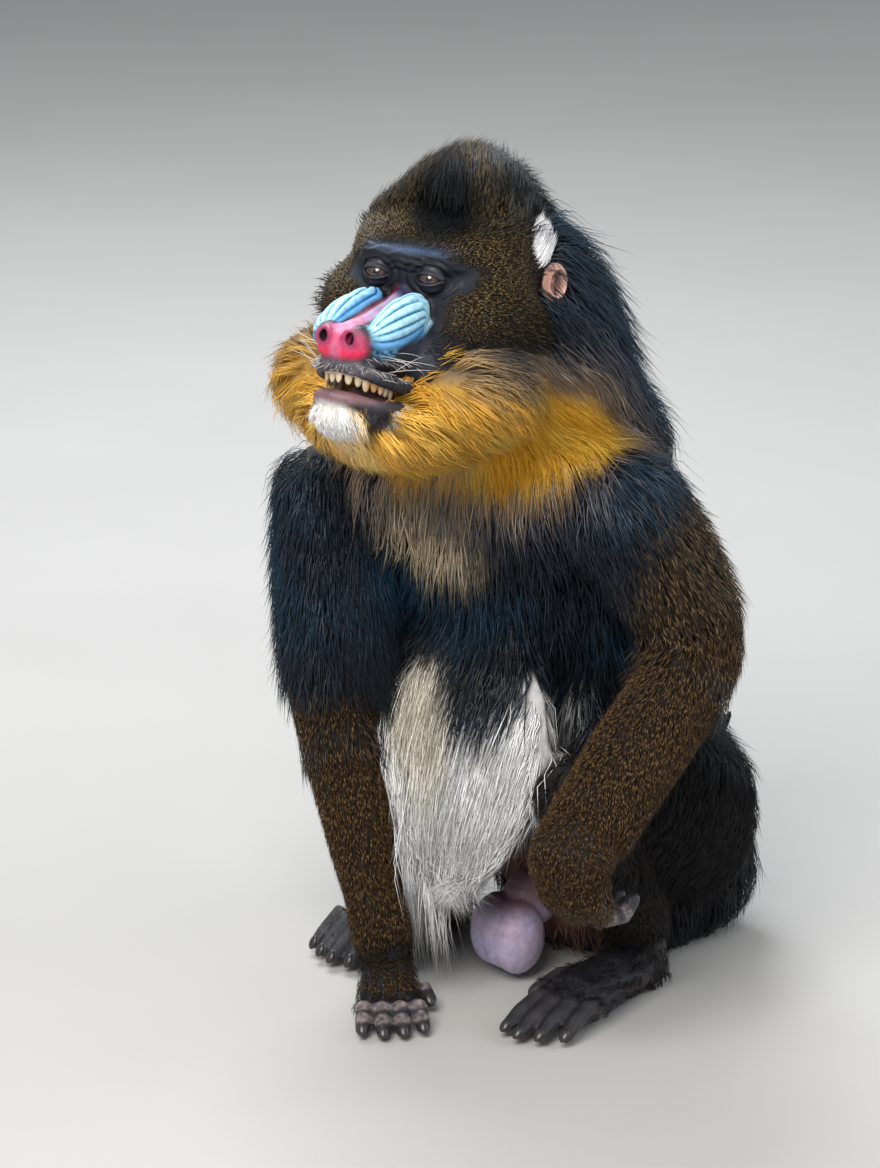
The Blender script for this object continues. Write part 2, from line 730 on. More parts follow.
def body_fields(points, normals):
    """Flow, hair values and colour over the skin of body and limbs."""
    shares = area_shares(points)
    values = sum(shares[:, i:i + 1] * np.array(area.values) for i, area in enumerate(BODY_AREAS))
    fields = dict(zip(("length", "rise", "hang", "width", "fleck"), values.T))
    fields["flow"] = sum(shares[:, i:i + 1] * unit(area.flow(points))
                         for i, area in enumerate(BODY_AREAS))
    fields["colour"] = sum(shares[:, i:i + 1] * area.colour
                           for i, area in enumerate(BODY_AREAS))
    lay_arms(fields, points)
    ruff = lay_ruff(fields, to_head(points), shares[:, :TRUNK_AREAS].sum(axis=1))
    armpit = lay_breast(fields, points)
    belly = lay_belly(fields, points, share_of(shares, "upper_arm", "forearm", "hand"))
    bare = lay_bare_skin(fields, points, normals, share_of(shares, "thigh", "shank"))
    fields["colour"] = fields["colour"] * (0.9 + 0.2 * ripple(points, 30.0))[:, None]
    return dict(fields, bare=bare, belly=belly, ruff=ruff, armpit=armpit, shares=shares)


def body_depth(points, normals):
    """How far the skin lies inside the solids: less where it is bare, and at wrist and ankle."""
    depth = mix(COAT_DEPTH, BARE_DEPTH, body_fields(points, normals)["bare"])
    ends = np.zeros(len(points))
    for j in JOINTS.values():
        for key in ("wrist", "ankle"):
            gap = np.linalg.norm(points - np.array(j[key]), axis=1)
            ends = np.maximum(ends, step(0.060, 0.030, gap))
    return mix(depth, WRIST_DEPTH, ends)


def trunk_pieces():
    """Trunk, shoulders, buttocks, the ruff's bulk, belly and tail, still apart."""
    across = Vector((math.cos(CHEST_TURN), math.sin(CHEST_TURN), 0.0))
    pieces = [limb("trunk", TRUNK, across, 40)]
    for side, j in JOINTS.items():
        pieces.append(ball("girdle", j["shoulder"].lerp(Vector((0, -0.16, 0.43)), 0.42),
                           (0.062, 0.060, 0.068)))
        pieces.append(ball("buttock", Vector((SIDE_SIGN[side] * 0.050, 0.018, 0.062)),
                           (0.060, 0.066, 0.066)))
    pieces += [
        ball("withers", Vector((0.044, -0.106, 0.466)), (0.060, 0.054, 0.050)),
        ball("withers", Vector((-0.056, -0.130, 0.464)), (0.062, 0.056, 0.048)),
        head_ball("ruff", (0, 10, -112), (84, 86, 40)),
        head_ball("ruff", (56, 22, -90), (52, 62, 44)),
        head_ball("ruff", (-60, 18, -92), (56, 60, 44)),
    ]
    belly = [
        (Vector((0.004, -0.196, 0.318)), 0.044, 0.016),
        (Vector((0.002, -0.204, 0.280)), 0.078, 0.024),
        (Vector((0.000, -0.210, 0.235)), 0.089, 0.028),
        (Vector((0.000, -0.217, 0.190)), 0.076, 0.026),
        (Vector((0.000, -0.228, 0.150)), 0.060, 0.020),
        (Vector((0.000, -0.236, 0.122)), 0.042, 0.013),
    ]
    pieces.append(limb("belly", belly))
    tail = [((0.0, 0.080, 0.120), 0.019), ((0.004, 0.104, 0.134), 0.017),
            ((0.010, 0.122, 0.150), 0.013), ((0.014, 0.130, 0.164), 0.009)]
    pieces.append(limb("tail", [(Vector(p), r, r) for p, r in tail]))
    return pieces


LEFT_WRIST = JOINTS["left"]["wrist"]
LEFT_PALM = [
    (LEFT_WRIST + Vector((-0.001, -0.006, 0.002)), 0.035, 0.036),
    (LEFT_WRIST + Vector((-0.002, -0.012, -0.018)), 0.035, 0.031),
    (LEFT_WRIST + Vector((-0.001, -0.006, -0.038)), 0.032, 0.023),
]


def limb_pieces(side):
    """One side's leg and arm, still apart."""
    j = JOINTS[side]
    sign = SIDE_SIGN[side]
    hip, knee, ankle = j["hip"], j["knee"], j["ankle"]
    shoulder, elbow, wrist = j["shoulder"], j["elbow"], j["wrist"]
    out = Vector((sign, 0, 0))
    thigh = [
        (hip + out * 0.001, 0.068, 0.080),
        (hip.lerp(knee, 0.32) + out * 0.012 + Vector((0, 0, 0.010)), 0.058, 0.078),
        (hip.lerp(knee, 0.68) + out * 0.006 + Vector((0, 0, 0.010)), 0.049, 0.062),
        (knee + Vector((0, 0.012, 0.006)), 0.041, 0.046),
    ]
    shank = [
        (knee + Vector((0, 0.006, -0.022)), 0.037, 0.036),
        (knee.lerp(ankle, 0.38) + Vector((0, 0.012, 0)), 0.036, 0.043),
        (knee.lerp(ankle, 0.72) + Vector((0, 0.006, 0)), 0.030, 0.034),
        (ankle + Vector((0, 0, 0.008)), 0.026, 0.028),
    ]
    upper = [
        (shoulder + out * 0.006, 0.047, 0.054),
        (shoulder.lerp(elbow, 0.45) + out * 0.006, 0.045, 0.051),
        (shoulder.lerp(elbow, 0.82), 0.041, 0.047),
        (elbow, 0.037, 0.041),
    ]
    if side == "left":
        fore = [
            (elbow, 0.037, 0.041),
            (elbow.lerp(wrist, 0.25) + Vector((0.002, 0, -0.002)), 0.040, 0.045),
            (elbow.lerp(wrist, 0.60), 0.040, 0.046),
            (elbow.lerp(wrist, 0.90), 0.037, 0.044),
        ]
    else:
        fore = [
            (elbow, 0.038, 0.040),
            (elbow.lerp(wrist, 0.25), 0.036, 0.038),
            (elbow.lerp(wrist, 0.60), 0.031, 0.033),
            (elbow.lerp(wrist, 0.90), 0.0250, 0.0260),
            (wrist + Vector((0.002, -0.001, -0.004)), 0.0225, 0.0235),
        ]
    pieces = [limb("thigh", thigh), limb("shank", shank), limb("upper_arm", upper),
              limb("forearm", fore),
              ball("knee_cap", knee + Vector((0, -0.008, 0.010)), (0.036, 0.034, 0.037))]
    if side == "left":
        pieces += [limb("back_of_hand", LEFT_PALM[:2] + [(LEFT_PALM[2][0], 0.030, 0.020)]),
                   ball("wrist", wrist + Vector((-0.001, -0.003, -0.002)), (0.036, 0.034, 0.036))]
    return pieces


def make_skin():
    """One skin over trunk and limbs, blended from all their pieces."""
    pieces = trunk_pieces() + limb_pieces("left") + limb_pieces("right")
    skin = blend("skin", pieces, BODY_VOXEL, 5)
    points, normals = places_of(skin), normals_of(skin)
    points = points - normals * body_depth(points, normals)[:, None]
    points[:, 2] = np.maximum(points[:, 2], 0.0)
    put_places(skin, points)
    normals = normals_of(skin)
    fields = body_fields(points, normals)
    put_colour(skin, "tone", fields["colour"] * mix(0.55, 1.0, fields["bare"])[:, None])
    dress(skin, skin_finish("skin_under_fur", 0.75, 700.0, 0.0005))
    return skin


# The head, in the head's frame and millimetres.
SWELLING_CENTRE = (21.5, -44, -34)
SWELLING_RADII = (15, 47, 18.5)
SWELLING_TILT = math.radians(16)
SWELLING_TWIST = math.radians(5)
RIDGES = 6                             # on each swelling
BLACK_PATCH = (16, 20, 47)             # over the brow
BLACK_RADII = (26, 30, 29)


def head_pieces():
    """Skull, cheeks, brow, bridge, muzzle, swellings, nose and upper lip, still apart."""
    furred = [
        head_ball("cranium", (0, 80, 4), (80, 89, 65)),
        head_ball("crown", (0, 85, 34), (56, 73, 44)),
        head_ball("face", (0, 34, -22), (58, 40, 47)),
    ]
    for sign in (-1, 1):
        furred.append(head_ball("cheek", (sign * 44, 50, -36), (48, 58, 48)))
        furred.append(head_ball("jowl", (sign * 29, 12, -66), (33, 48, 31)))
    pieces = [
        blend("furred", furred, 0.004, 10),
        head_tube("brow", [(-50, 26, 6), (-34, 4, 13), (0, -1, 12), (34, 4, 13), (50, 26, 6)],
                  [9, 10.5, 11, 10.5, 9]),
        head_tube("bridge", [(0, 10, -12), (0, -26, -25), (0, -60, -35), (0, -86, -42)],
                  [9, 7.0, 7.8, 10.5]),
    ]
    muzzle = [((0, 30, -52), 40, 40), ((0, -20, -53), 36, 34), ((0, -60, -52), 31, 24),
              ((0, -86, -50), 25, 14)]
    core = limb("muzzle", [(Vector(p) * MM, w * MM, d * MM) for p, w, d in muzzle])
    core.data.transform(HEAD)
    pieces.append(core)
    for sign in (-1, 1):
        x, y, z = SWELLING_CENTRE
        pieces.append(head_ball("swelling", (sign * x, y, z), SWELLING_RADII, SWELLING_TILT,
                                sign * SWELLING_TWIST))
        pieces.append(head_ball("wing", (sign * 13.5, -89, -43), (10.5, 13.5, 11.5)))
        rim = [(sign * (11.6 + 6.2 * math.cos(a)), -99.0 + 4.0 * math.cos(a),
                -42.0 + 7.0 * math.sin(a)) for a in np.linspace(-0.9, 3.4, 9)]
        pieces.append(head_tube("rim", rim, [1.2, 1.6, 2.0, 2.2, 2.2, 2.0, 1.8, 1.4, 1.0]))
    pieces.append(head_ball("pad", (0, -89, -51), (22.3, 15.5, 15.5)))
    pieces.append(head_tube("lip", [(-31, -40, -84), (-27.5, -70, -75), (-16, -92.5, -67),
                                    (0, -99, -64.5), (16, -92.5, -67), (27.5, -70, -75),
                                    (31, -40, -84)], [6, 6, 5.2, 4.8, 5.2, 6, 6]))
    return pieces


def swelling_reach(local):
    """Distance from the middle of the swelling on the same side, 1 on its own surface."""
    turn = Matrix.Rotation(SWELLING_TWIST, 3, "Z") @ Matrix.Rotation(SWELLING_TILT, 3, "X")
    offset = mirrored(local) - SWELLING_CENTRE
    return np.linalg.norm(offset @ np.array(turn) / SWELLING_RADII, axis=1)


def swelling_map(local):
    """On the paranasal swellings: how far a place is across the grooves, and how much on one."""
    x, y, z = np.abs(local[:, 0]), local[:, 1], local[:, 2]
    along = np.clip((y + 92) / 88, 0, 1)
    middle_x = 19.0 + 3.0 * along
    middle_z = -42.0 + 15.0 * along
    turn = np.degrees(np.arctan2(z - middle_z, x - middle_x))
    across = (turn + 38) / 163
    rear = np.maximum(y + 26, 0) / 24
    rings = np.sqrt(np.maximum(across, 0) ** 2 + rear ** 2)
    on = step(-0.10, 0.04, across) * step(1.16, 1.06, rings) * step(-94, -84, y) * step(6, 9, x)
    return rings, on * step(1.32, 1.16, swelling_reach(local)) * step(-5, -10, y)


def fur_edge(local):
    """How far inside the furred part of the head a place is, in millimetres."""
    x, y, z = local.T
    wide = np.abs(x)
    above = z - (23 - 0.0055 * wide ** 2)
    temple = np.maximum(y - 27, wide - 53)
    cheek = np.maximum(y + 2, np.minimum(wide - 37, y + 30))
    behind = mix(cheek, temple, step(-16, -6, z))
    below = np.minimum(y + 6, -62 - z)
    return np.maximum(above, np.maximum(behind, below)) + 1.5 * ripple(local, 0.25)


def groove_profile(rings):
    """1 on a ridge's top and 0 in a groove."""
    phase = np.mod(rings * RIDGES + 0.15, 1.0)
    return 1 - np.abs(2 * phase - 1) ** 3.2


def fur_tone(local):
    """Colours of the fur, which the coat over the skin repeats."""
    _, y, z = local.T
    fur = mix(OLIVE, CHEEK_GREY, step(-20, -48, z) * step(70, 30, y))
    fur = mix(fur, tint(13, 12, 13), np.maximum(step(48, 74, y), step(58, 76, z)))
    fur = mix(fur, tint(7, 9, 13), blob(local, BLACK_PATCH, BLACK_RADII, 0.3))
    fur = ruff_tone(fur, local, step(-44, -64, z))
    return fur * mix(0.6, 1.0, step(0, 16, fur_edge(local)))[:, None]


def brow_tone(colour, local):
    """The brow with its blue sheen, and the dark sockets of the eyes."""
    z = local[:, 2]
    brow = blob(local, (0, 0, 8), (60, 34, 16), 0.35) * step(-16, -4, z)
    colour = mix(colour, tint(9, 14, 28), brow)
    sheen = blob(local, (4, -6, 20.5), (40, 13, 2.6), 0.9)
    colour = mix(colour, tint(84, 112, 152), sheen * (0.42 + 0.2 * ripple(local, 0.9)))
    for sign in (-1, 1):
        socket = blob(local, (sign * 24, -4, -1), (19, 18, 15), 0.3)
        colour = mix(colour, tint(9, 12, 24), socket)
    return colour


def muzzle_tone(colour, local):
    """The muzzle's grey sides, the blue waves below the swellings, and the swellings."""
    _, y, z = local.T
    colour = mix(colour, tint(38, 42, 56), step(18, -10, y) * step(-38, -52, z) * 0.9)
    folded = mirrored(local)
    stubble = blob(folded, (18, -90, -65), (24, 22, 8), 0.5)
    colour = mix(colour, tint(104, 100, 110), stubble * 0.8)
    below = blob(folded, (31, -73, -51), (11, 14, 9), 0.35)
    waves = step(-0.3, 0.6, np.sin(z * 1.3 + y * 0.5 + 2 * ripple(local, 0.5)))
    colour = mix(colour, mix(tint(40, 96, 150), tint(120, 196, 226), waves), below * 0.9)
    rings, on = swelling_map(local)
    ridge = groove_profile(rings)
    pale = mix(tint(84, 182, 228), tint(188, 236, 248), step(0.40, 0.95, ridge))
    edge = np.maximum(step(0.34, 0.05, rings), step(0.78, 1.02, rings))
    pale = mix(pale, tint(30, 142, 220), edge * 0.75)
    pale = mix(pale, tint(8, 34, 70), step(0.50, 0.20, ridge))
    return mix(colour, pale, on)


def nose_tone(colour, local):
    """The line down the nose, lilac and red, and the red pad round the nostrils."""
    x, y, z = local.T
    wide = np.abs(x)
    line = step(9.5, 6.0, wide) * step(-1, -9, y) * step(-48, -38, z + 0.28 * (y + 88))
    line = line * step(-6, -13, z)
    lilac = mix(tint(176, 150, 190), tint(226, 142, 180), step(-50, -84, y))
    lilac = mix(lilac, tint(44, 50, 86), step(-24, -10, y))
    red = mix(tint(96, 12, 26), tint(150, 36, 56), step(-30, -70, y))
    lilac = mix(lilac, red, step(0.6, -1.6, x) * step(-84, -68, y))
    colour = mix(colour, lilac, line)
    pad = blob(local, (0, -98, -49), (25, 17, 17), 0.22) * step(-62, -54, z)
    rosy = mix(tint(214, 84, 122), tint(226, 136, 178), step(-42, -34, z))
    rosy = mix(rosy, tint(224, 40, 84), step(-46, -54, z) * step(3, 8, wide))
    rosy = mix(rosy, tint(196, 110, 140), step(3.4, 0.8, wide) * step(-38, -48, z) * 0.8)
    for sign in (-1, 1):
        wing = blob(local, (sign * 11.0, -101, -43), (8.0, 12, 8.0), 0.3)
        nostril = blob(local, (sign * 12.4, -97, -42.0), (3.9, 12, 5.3), 0.2)
        rosy = mix(mix(rosy, tint(168, 52, 96), wing), tint(20, 6, 10), nostril)
    return mix(colour, rosy, pad)


def face_colour(local):
    """Colours of the skin of the head."""
    x, y, z = local.T
    colour = mix(tint(26, 27, 34), tint(16, 22, 36), step(-30, -6, y) * step(-60, -20, z))
    colour = mix(colour, fur_tone(local), step(-2, 5, fur_edge(local)))
    colour = nose_tone(muzzle_tone(brow_tone(colour, local), local), local)
    inside = step(-66, -72, z) * step(26, 20, np.abs(x)) * step(-92, -86, y)
    colour = mix(colour, tint(60, 26, 30), inside)
    return colour * (0.94 + 0.10 * ripple(local, 0.35, 1.0))[:, None]


def shape_face(local):
    """Fine relief of the face: grooves on the swellings, folds round the eyes, and wrinkles."""
    x, y, z = local.T
    rings, on = swelling_map(local)
    moved = (groove_profile(rings) - 0.62) * 2.4 * on
    for sign in (-1, 1):
        dx, dz = x - sign * EYE_SPACING / 2 / MM, z + 0.5
        round_eye = np.sqrt((dx / 14.5) ** 2 + (dz / 10.5) ** 2)
        fold = np.sin(round_eye * 12.0) * step(0.75, 0.95, round_eye) * step(2.0, 1.4, round_eye)
        moved = moved + fold * 0.55 * step(10, 0, y)
    brow = blob(local, (0, -2, 14), (48, 20, 12), 0.4)
    moved = moved + brow * 0.5 * np.sin(z * 1.1 + 0.25 * np.abs(x) + np.sin(x * 0.35))
    wrinkle = step(-58, -66, z) * step(0, -20, y)
    moved = moved + wrinkle * 0.25 * np.sin(y * 0.9 + 1.5 * np.sin(z * 0.35))
    centre = step(2.2, 0.4, np.abs(x)) * blob(local, (0, -102, -54), (6, 12, 12), 0.3)
    return moved - centre * 1.4


def cut_face(obj, band):
    """Splits the faces of the bare face once more, for its fine relief."""
    made = bmesh.new()
    made.from_mesh(obj.data)
    points = np.array([v.co for v in made.verts])
    wanted = band(to_head(points))
    edges = [e for e in made.edges if wanted[e.verts[0].index] and wanted[e.verts[1].index]]
    bmesh.ops.subdivide_edges(made, edges=edges, cuts=1, use_grid_fill=True, smooth=0.0)
    bmesh.ops.triangulate(made, faces=[f for f in made.faces if len(f.verts) > 4])
    made.to_mesh(obj.data)
    made.free()


def make_head():
    """The head's skin, with nostrils and mouth cut out, and its relief and markings."""
    head = blend("head_skin", head_pieces(), HEAD_VOXEL, 2)
    for sign in (-1, 1):
        hole = head_ball("nostril", (sign * 12.0, -103.0, -42.6), (3.4, 11.0, 4.9), 0.25,
                         sign * 0.35)
        boolean(head, hole, "DIFFERENCE")
    mouth = head_tube("mouth", [(0, -30, -94), (0, -56, -89), (0, -80, -83)],
                      [8, 12.5, 12.5], 1.75, 20)
    boolean(head, mouth, "DIFFERENCE")
    cut_face(head, lambda local: (local[:, 1] < 16) & (local[:, 2] < 34) & (local[:, 2] > -90))
    points, normals = places_of(head), normals_of(head)
    local = to_head(points)
    points = points + normals * (shape_face(local) * MM)[:, None]
    put_places(head, points)
    put_colour(head, "tone", face_colour(to_head(points)))
    dress(head, skin_finish("face_skin", 0.48, 1500.0, 0.00022, 0.36, 0.06))
    return head


def jaw_colour(local):
    """Pinkish lip and mouth, white chin, and gold where the beard grows."""
    y, z = local[:, 1], local[:, 2]
    lip = blob(local, (0, -76, -89), (36, 42, 6.5), 0.3)
    colour = mix(tint(50, 50, 60), tint(122, 88, 94), lip)
    inside = step(-89, -85, z) * step(-104, -96, y)
    colour = mix(colour, tint(120, 70, 72), inside * 0.7)
    white = blob(local, (-3, -96, -104), (20, 19, 12), 0.3)
    colour = mix(colour, tint(236, 232, 226), white)
    gold = step(-20, 10, y) + step(-112, -124, z) * step(-70, -40, y)
    return mix(colour, PALE_GOLD, np.clip(gold, 0, 1))


def make_jaw():
    """The lower jaw, with its lip and the bulk of the beard's root."""
    pieces = [
        head_tube("lip", [(-31, -38, -100), (-27, -72, -98), (-14, -94, -91), (0, -100, -89),
                          (14, -94, -91), (27, -72, -98), (31, -38, -100)],
                  [5.6, 6.2, 6.4, 6.6, 6.4, 6.2, 5.6]),
        head_ball("chin", (0, -76, -105), (27, 26, 16)),
        head_ball("body", (0, -30, -108), (37, 56, 22)),
        head_ball("jowl", (0, 4, -98), (48, 44, 28)),
    ]
    jaw = blend("jaw_skin", pieces, HEAD_VOXEL, 3)
    points, normals = places_of(jaw), normals_of(jaw)
    local = to_head(points)
    lip = blob(local, (0, -76, -95), (36, 42, 8.5), 0.25)
    moved = lip * 0.30 * np.sin(local[:, 0] * 1.3 + 2 * np.sin(local[:, 1] * 0.3)) \
        - 0.8 * step(3.5, 0, np.abs(local[:, 2] + 101)) * step(0, -20, local[:, 1])
    put_places(jaw, points + normals * (moved * MM)[:, None])
    put_colour(jaw, "tone", jaw_colour(local))
    dress(jaw, skin_finish("lip_skin", 0.42, 1300.0, 0.00025, 0.5, 0.15))
    return jaw


TOOTH_COUNT = 15
CANINES = (4, 10)
TOOTH_ARC = [Vector(p) for p in ((-23.0, -48, -82), (-22.5, -70, -75), (-13.5, -88, -69),
                                 (0, -93.5, -67), (13.5, -88, -69), (22.5, -70, -75),
                                 (23.0, -48, -82))]


def on_arc(arc, part, count):
    """The place at part of count of the arc's length, and the way that the arc runs there."""
    lengths = [(arc[i + 1] - arc[i]).length for i in range(len(arc) - 1)]
    want = sum(lengths) * part / count
    for k, length in enumerate(lengths):
        if want <= length:
            break
        want -= length
    return arc[k].lerp(arc[k + 1], want / lengths[k]), (arc[k + 1] - arc[k]).normalized()


def make_teeth():
    """Upper teeth on their gum, along the arc of the jaw."""
    pieces = [head_tube("gum", TOOTH_ARC, [3.5, 4.2, 4.5, 4.5, 4.5, 4.2, 3.5])]
    for i in range(TOOTH_COUNT):
        spot, way = on_arc(TOOTH_ARC, i + 0.5, TOOTH_COUNT)
        drop, width, tall = (5.8, 3.6, 8.0) if i in CANINES else (5.0, 3.35, 7.0)
        pieces.append(head_ball("tooth", spot - Vector((0, 0, drop)), (width, 2.2, tall),
                                twist=math.atan2(way.y, way.x), segments=16))
    teeth = blend("tooth_row", pieces, 0.0006, 1)
    local = to_head(places_of(teeth))
    high = step(-70, -68, local[:, 2] + 0.30 * (local[:, 1] + 93))
    tone = mix(tint(216, 196, 164), tint(120, 62, 66), high)
    stain = np.maximum(blob(local, (-16, -84, -76), (5, 7, 9), 0.4),
                       blob(local, (21, -74, -80), (6, 8, 9), 0.4))
    tone = mix(tone, tint(200, 140, 66), stain * 0.8)
    put_colour(teeth, "tone", tone)
    dress(teeth, skin_finish("enamel", 0.22, 500.0, 0.00008, 0.6, 0.4))
    return teeth


GAZE = Vector((math.sin(math.radians(14)), -math.cos(math.radians(14)), -0.03)).normalized()
IRIS_RADIUS = 0.0068
PUPIL_RADIUS = 0.0027
CORNEA_BULGE = 0.0009
LID_COLUMNS = 44
LID_ROWS = 18


def make_eye(side):
    """The eyeball, with a cornea that bulges over the iris."""
    centre = HEAD @ Vector((SIDE_SIGN[side] * EYE_SPACING / 2, 0, 0))
    gaze = (HEAD.to_3x3() @ GAZE).normalized()
    obj = ball("eyeball_" + side, Vector(), (EYE_RADIUS,) * 3, 96)
    turn = gaze.to_track_quat("Z", "Y").to_matrix().to_4x4()
    obj.data.transform(turn)
    points = places_of(obj)
    axis = np.array(gaze)
    out = np.sqrt(np.maximum(EYE_RADIUS ** 2 - (points @ axis) ** 2, 0))
    front = points @ axis > 0
    bulge = step(IRIS_RADIUS * 1.05, 0.0, out) * front * CORNEA_BULGE
    points = points + axis * bulge[:, None]
    angle = np.arctan2(points @ np.cross(axis, (0, 0, 1.0)), points @ np.array((0, 0, 1.0)))
    streak = 0.5 + 0.25 * np.sin(angle * 23) + 0.25 * np.sin(angle * 41 + 1)
    iris = mix(tint(92, 62, 50), tint(48, 30, 24), streak)
    iris = mix(iris, tint(30, 18, 14), step(IRIS_RADIUS * 0.70, IRIS_RADIUS, out))
    tone = mix(tint(70, 56, 50), tint(20, 14, 14), step(IRIS_RADIUS * 1.5, IRIS_RADIUS, out))
    tone = mix(tone, iris, step(IRIS_RADIUS * 1.03, IRIS_RADIUS * 0.97, out) * front)
    tone = mix(tone, tint(6, 5, 6), step(PUPIL_RADIUS * 1.1, PUPIL_RADIUS * 0.9, out) * front)
    put_places(obj, points + np.array(centre))
    put_colour(obj, "tone", tone)
    smooth_faces(obj)
    net = Net("eye_" + side)
    obj.data.materials.append(net.finish(
        Base_Color=net.attribute("tone").outputs["Color"], Roughness=0.06, Coat_Weight=1.0,
        Coat_Roughness=0.02, Specular_IOR_Level=0.6))
    return obj


def lid_place(middle, u, t, upper, outer):
    """A place on a lid: u is across, from -1 to 1, and t from its rim, 0, to its root, 1."""
    azimuth = u * math.radians(80)
    opening = max(0.0, 1 - abs(u / 0.74) ** 2.2)
    rim = math.radians(19 if upper else -16) * opening - math.radians(2)
    end = math.radians(84 if upper else -84)
    height = rim + (end - rim) * t
    fold = 0.55 * math.sin(t * 15.0) * math.exp(-t * 1.2) * min(1, t * 9)
    edge = 0.9 * math.exp(-((t - 0.05) / 0.06) ** 2)
    reach = EYE_RADIUS / MM + (1.1 + edge + fold + t * 1.2 if outer else 0.15)
    return (middle + reach * math.sin(azimuth) * math.cos(height),
            -reach * math.cos(azimuth) * math.cos(height), reach * math.sin(height))


def shell_faces(columns, rows):
    """Faces of a closed shell between two grids of places, the outer grid first."""
    wide = rows + 1
    size = (columns + 1) * wide
    faces = []
    for i in range(columns):
        for k in range(rows):
            a = i * wide + k
            b, c, d = a + wide, a + wide + 1, a + 1
            faces += [(a, b, c, d), (size + d, size + c, size + b, size + a)]
    border = [(i * wide, (i + 1) * wide) for i in range(columns)]
    border += [((i + 1) * wide + rows, i * wide + rows) for i in range(columns)]
    border += [(k + 1, k) for k in range(rows)]
    border += [(columns * wide + k, columns * wide + k + 1) for k in range(rows)]
    return faces + [(b, a, size + a, size + b) for a, b in border]


def make_lids(side):
    """Both lids of one eye: shells that wrap the eyeball, with folds that follow their rims."""
    middle = (Vector((SIDE_SIGN[side] * EYE_SPACING / 2, 0, 0)) / MM).x
    pieces = []
    for upper in (True, False):
        points = [lid_place(middle, -1 + 2 * i / LID_COLUMNS, k / LID_ROWS, upper, outer)
                  for outer in (True, False)
                  for i in range(LID_COLUMNS + 1) for k in range(LID_ROWS + 1)]
        lid = mesh_object("lid", from_head(points), shell_faces(LID_COLUMNS, LID_ROWS))
        face_outwards(lid)
        pieces.append(lid)
    lids = join("lids_" + side, pieces)
    local = to_head(places_of(lids))
    near = np.sqrt(((local[:, 0] - middle) / 11) ** 2 + (local[:, 2] / 6.5) ** 2)
    put_colour(lids, "tone", mix(tint(30, 31, 42), tint(11, 14, 26), step(1.0, 1.6, near)))
    dress(lids, skin_finish("lid_skin_" + side, 0.40, 1400.0, 0.0002, 0.5, 0.15))
    return lids


def make_ear(side):
    """A low rounded ear: a cup with a rolled rim and a fold inside."""
    sign = SIDE_SIGN[side]
    shell = head_ball("pinna", (sign * 83, 92, -2), (11, 17, 16.5), 0.0, sign * 0.35)
    ear = blend("ear_skin_" + side, [shell], 0.0011, 1)
    boolean(ear, head_ball("cup", (sign * 93.5, 85, -1), (8.5, 12.2, 11.4), 0.0, sign * 0.35),
            "DIFFERENCE")
    fold = head_tube("fold", [(sign * 86, 84, 6), (sign * 88, 80, 0), (sign * 87, 84, -7)],
                     [1.6, 2.2, 1.8])
    ear = blend("ear_skin_" + side, [ear, fold], 0.0010, 2)
    local = to_head(places_of(ear))
    deep = blob(local, (sign * 86, 85, 0), (6, 11, 14), 0.4)
    put_colour(ear, "tone", mix(tint(236, 188, 170), tint(112, 62, 56), deep * 0.8))
    dress(ear, skin_finish("ear_skin_" + side, 0.5, 1100.0, 0.0003))
    return ear


def make_scrotum():
    """Two rounded halves under a broad root, with fine wrinkles."""
    pieces = [
        ball("sac", Vector((0.012, -0.165, 0.038)), (0.0205, 0.0260, 0.0320)),
        ball("sac", Vector((-0.012, -0.163, 0.040)), (0.0205, 0.0260, 0.0320)),
        ball("middle", Vector((0.0, -0.167, 0.039)), (0.018, 0.0240, 0.0300)),
        ball("root", Vector((0.0, -0.132, 0.062)), (0.022, 0.030, 0.026)),
    ]
    obj = blend("scrotum_skin", pieces, 0.0016, 5)
    points, normals = places_of(obj), normals_of(obj)
    wrinkle = ripple(points, 420.0, 3.0) * 0.0002 + ripple(points, 160.0, 1.0) * 0.0002
    put_places(obj, points + normals * wrinkle[:, None])
    tone = mix(LAVENDER, tint(204, 170, 186),
               np.clip(0.5 + 0.7 * ripple(points, 70.0, 5.0), 0, 1) * 0.55)
    tone = mix(tone, tint(122, 84, 80), step(0.052, 0.072, points[:, 2]) * 0.8)
    put_colour(obj, "tone", tone)
    dress(obj, skin_finish("scrotum_skin", 0.42, 600.0, 0.0004, 0.5, 0.1))
    return obj


# Hands and feet.
FOOT_CURL = {"left": 0.012, "right": 0.026}      # how high a toe's first joint stands
TOE_SHARE = {"left": 1.0, "right": 0.72}         # of a straight toe's length
TOE_LENGTHS = (0.072, 0.078, 0.072, 0.060)
FINGER_LENGTHS = (0.036, 0.043, 0.042, 0.035)
DIGIT_GAP = 0.0138
NAIL_UP = {"hand_left": Vector((0, 0.2, -1))}    # upward for the others
NAIL_TILT = -0.35
# Shares of the radius of the digit's tip, and the fineness of the mesh.
NAIL_SIZES = {"Width": 0.62, "Length": 0.95, "Thickness": 0.36, "Segments": 20, "Rings": 10}


def digit(places, radii):
    """A toe or finger, a little flattened."""
    stations = [(Vector(p), r, r * 0.9) for p, r in zip(places, radii)]
    return limb("digit", stations, Vector((1, 0, 0)), 20)


def bent_digit(start, ahead, wide, reach, lean, bends):
    """A digit's joints. Each bend is its share of the reach and of the lean, and its height."""
    return [start] + [start + ahead * reach * out + wide * lean * aside + Vector((0, 0, up))
                      for out, aside, up in bends]


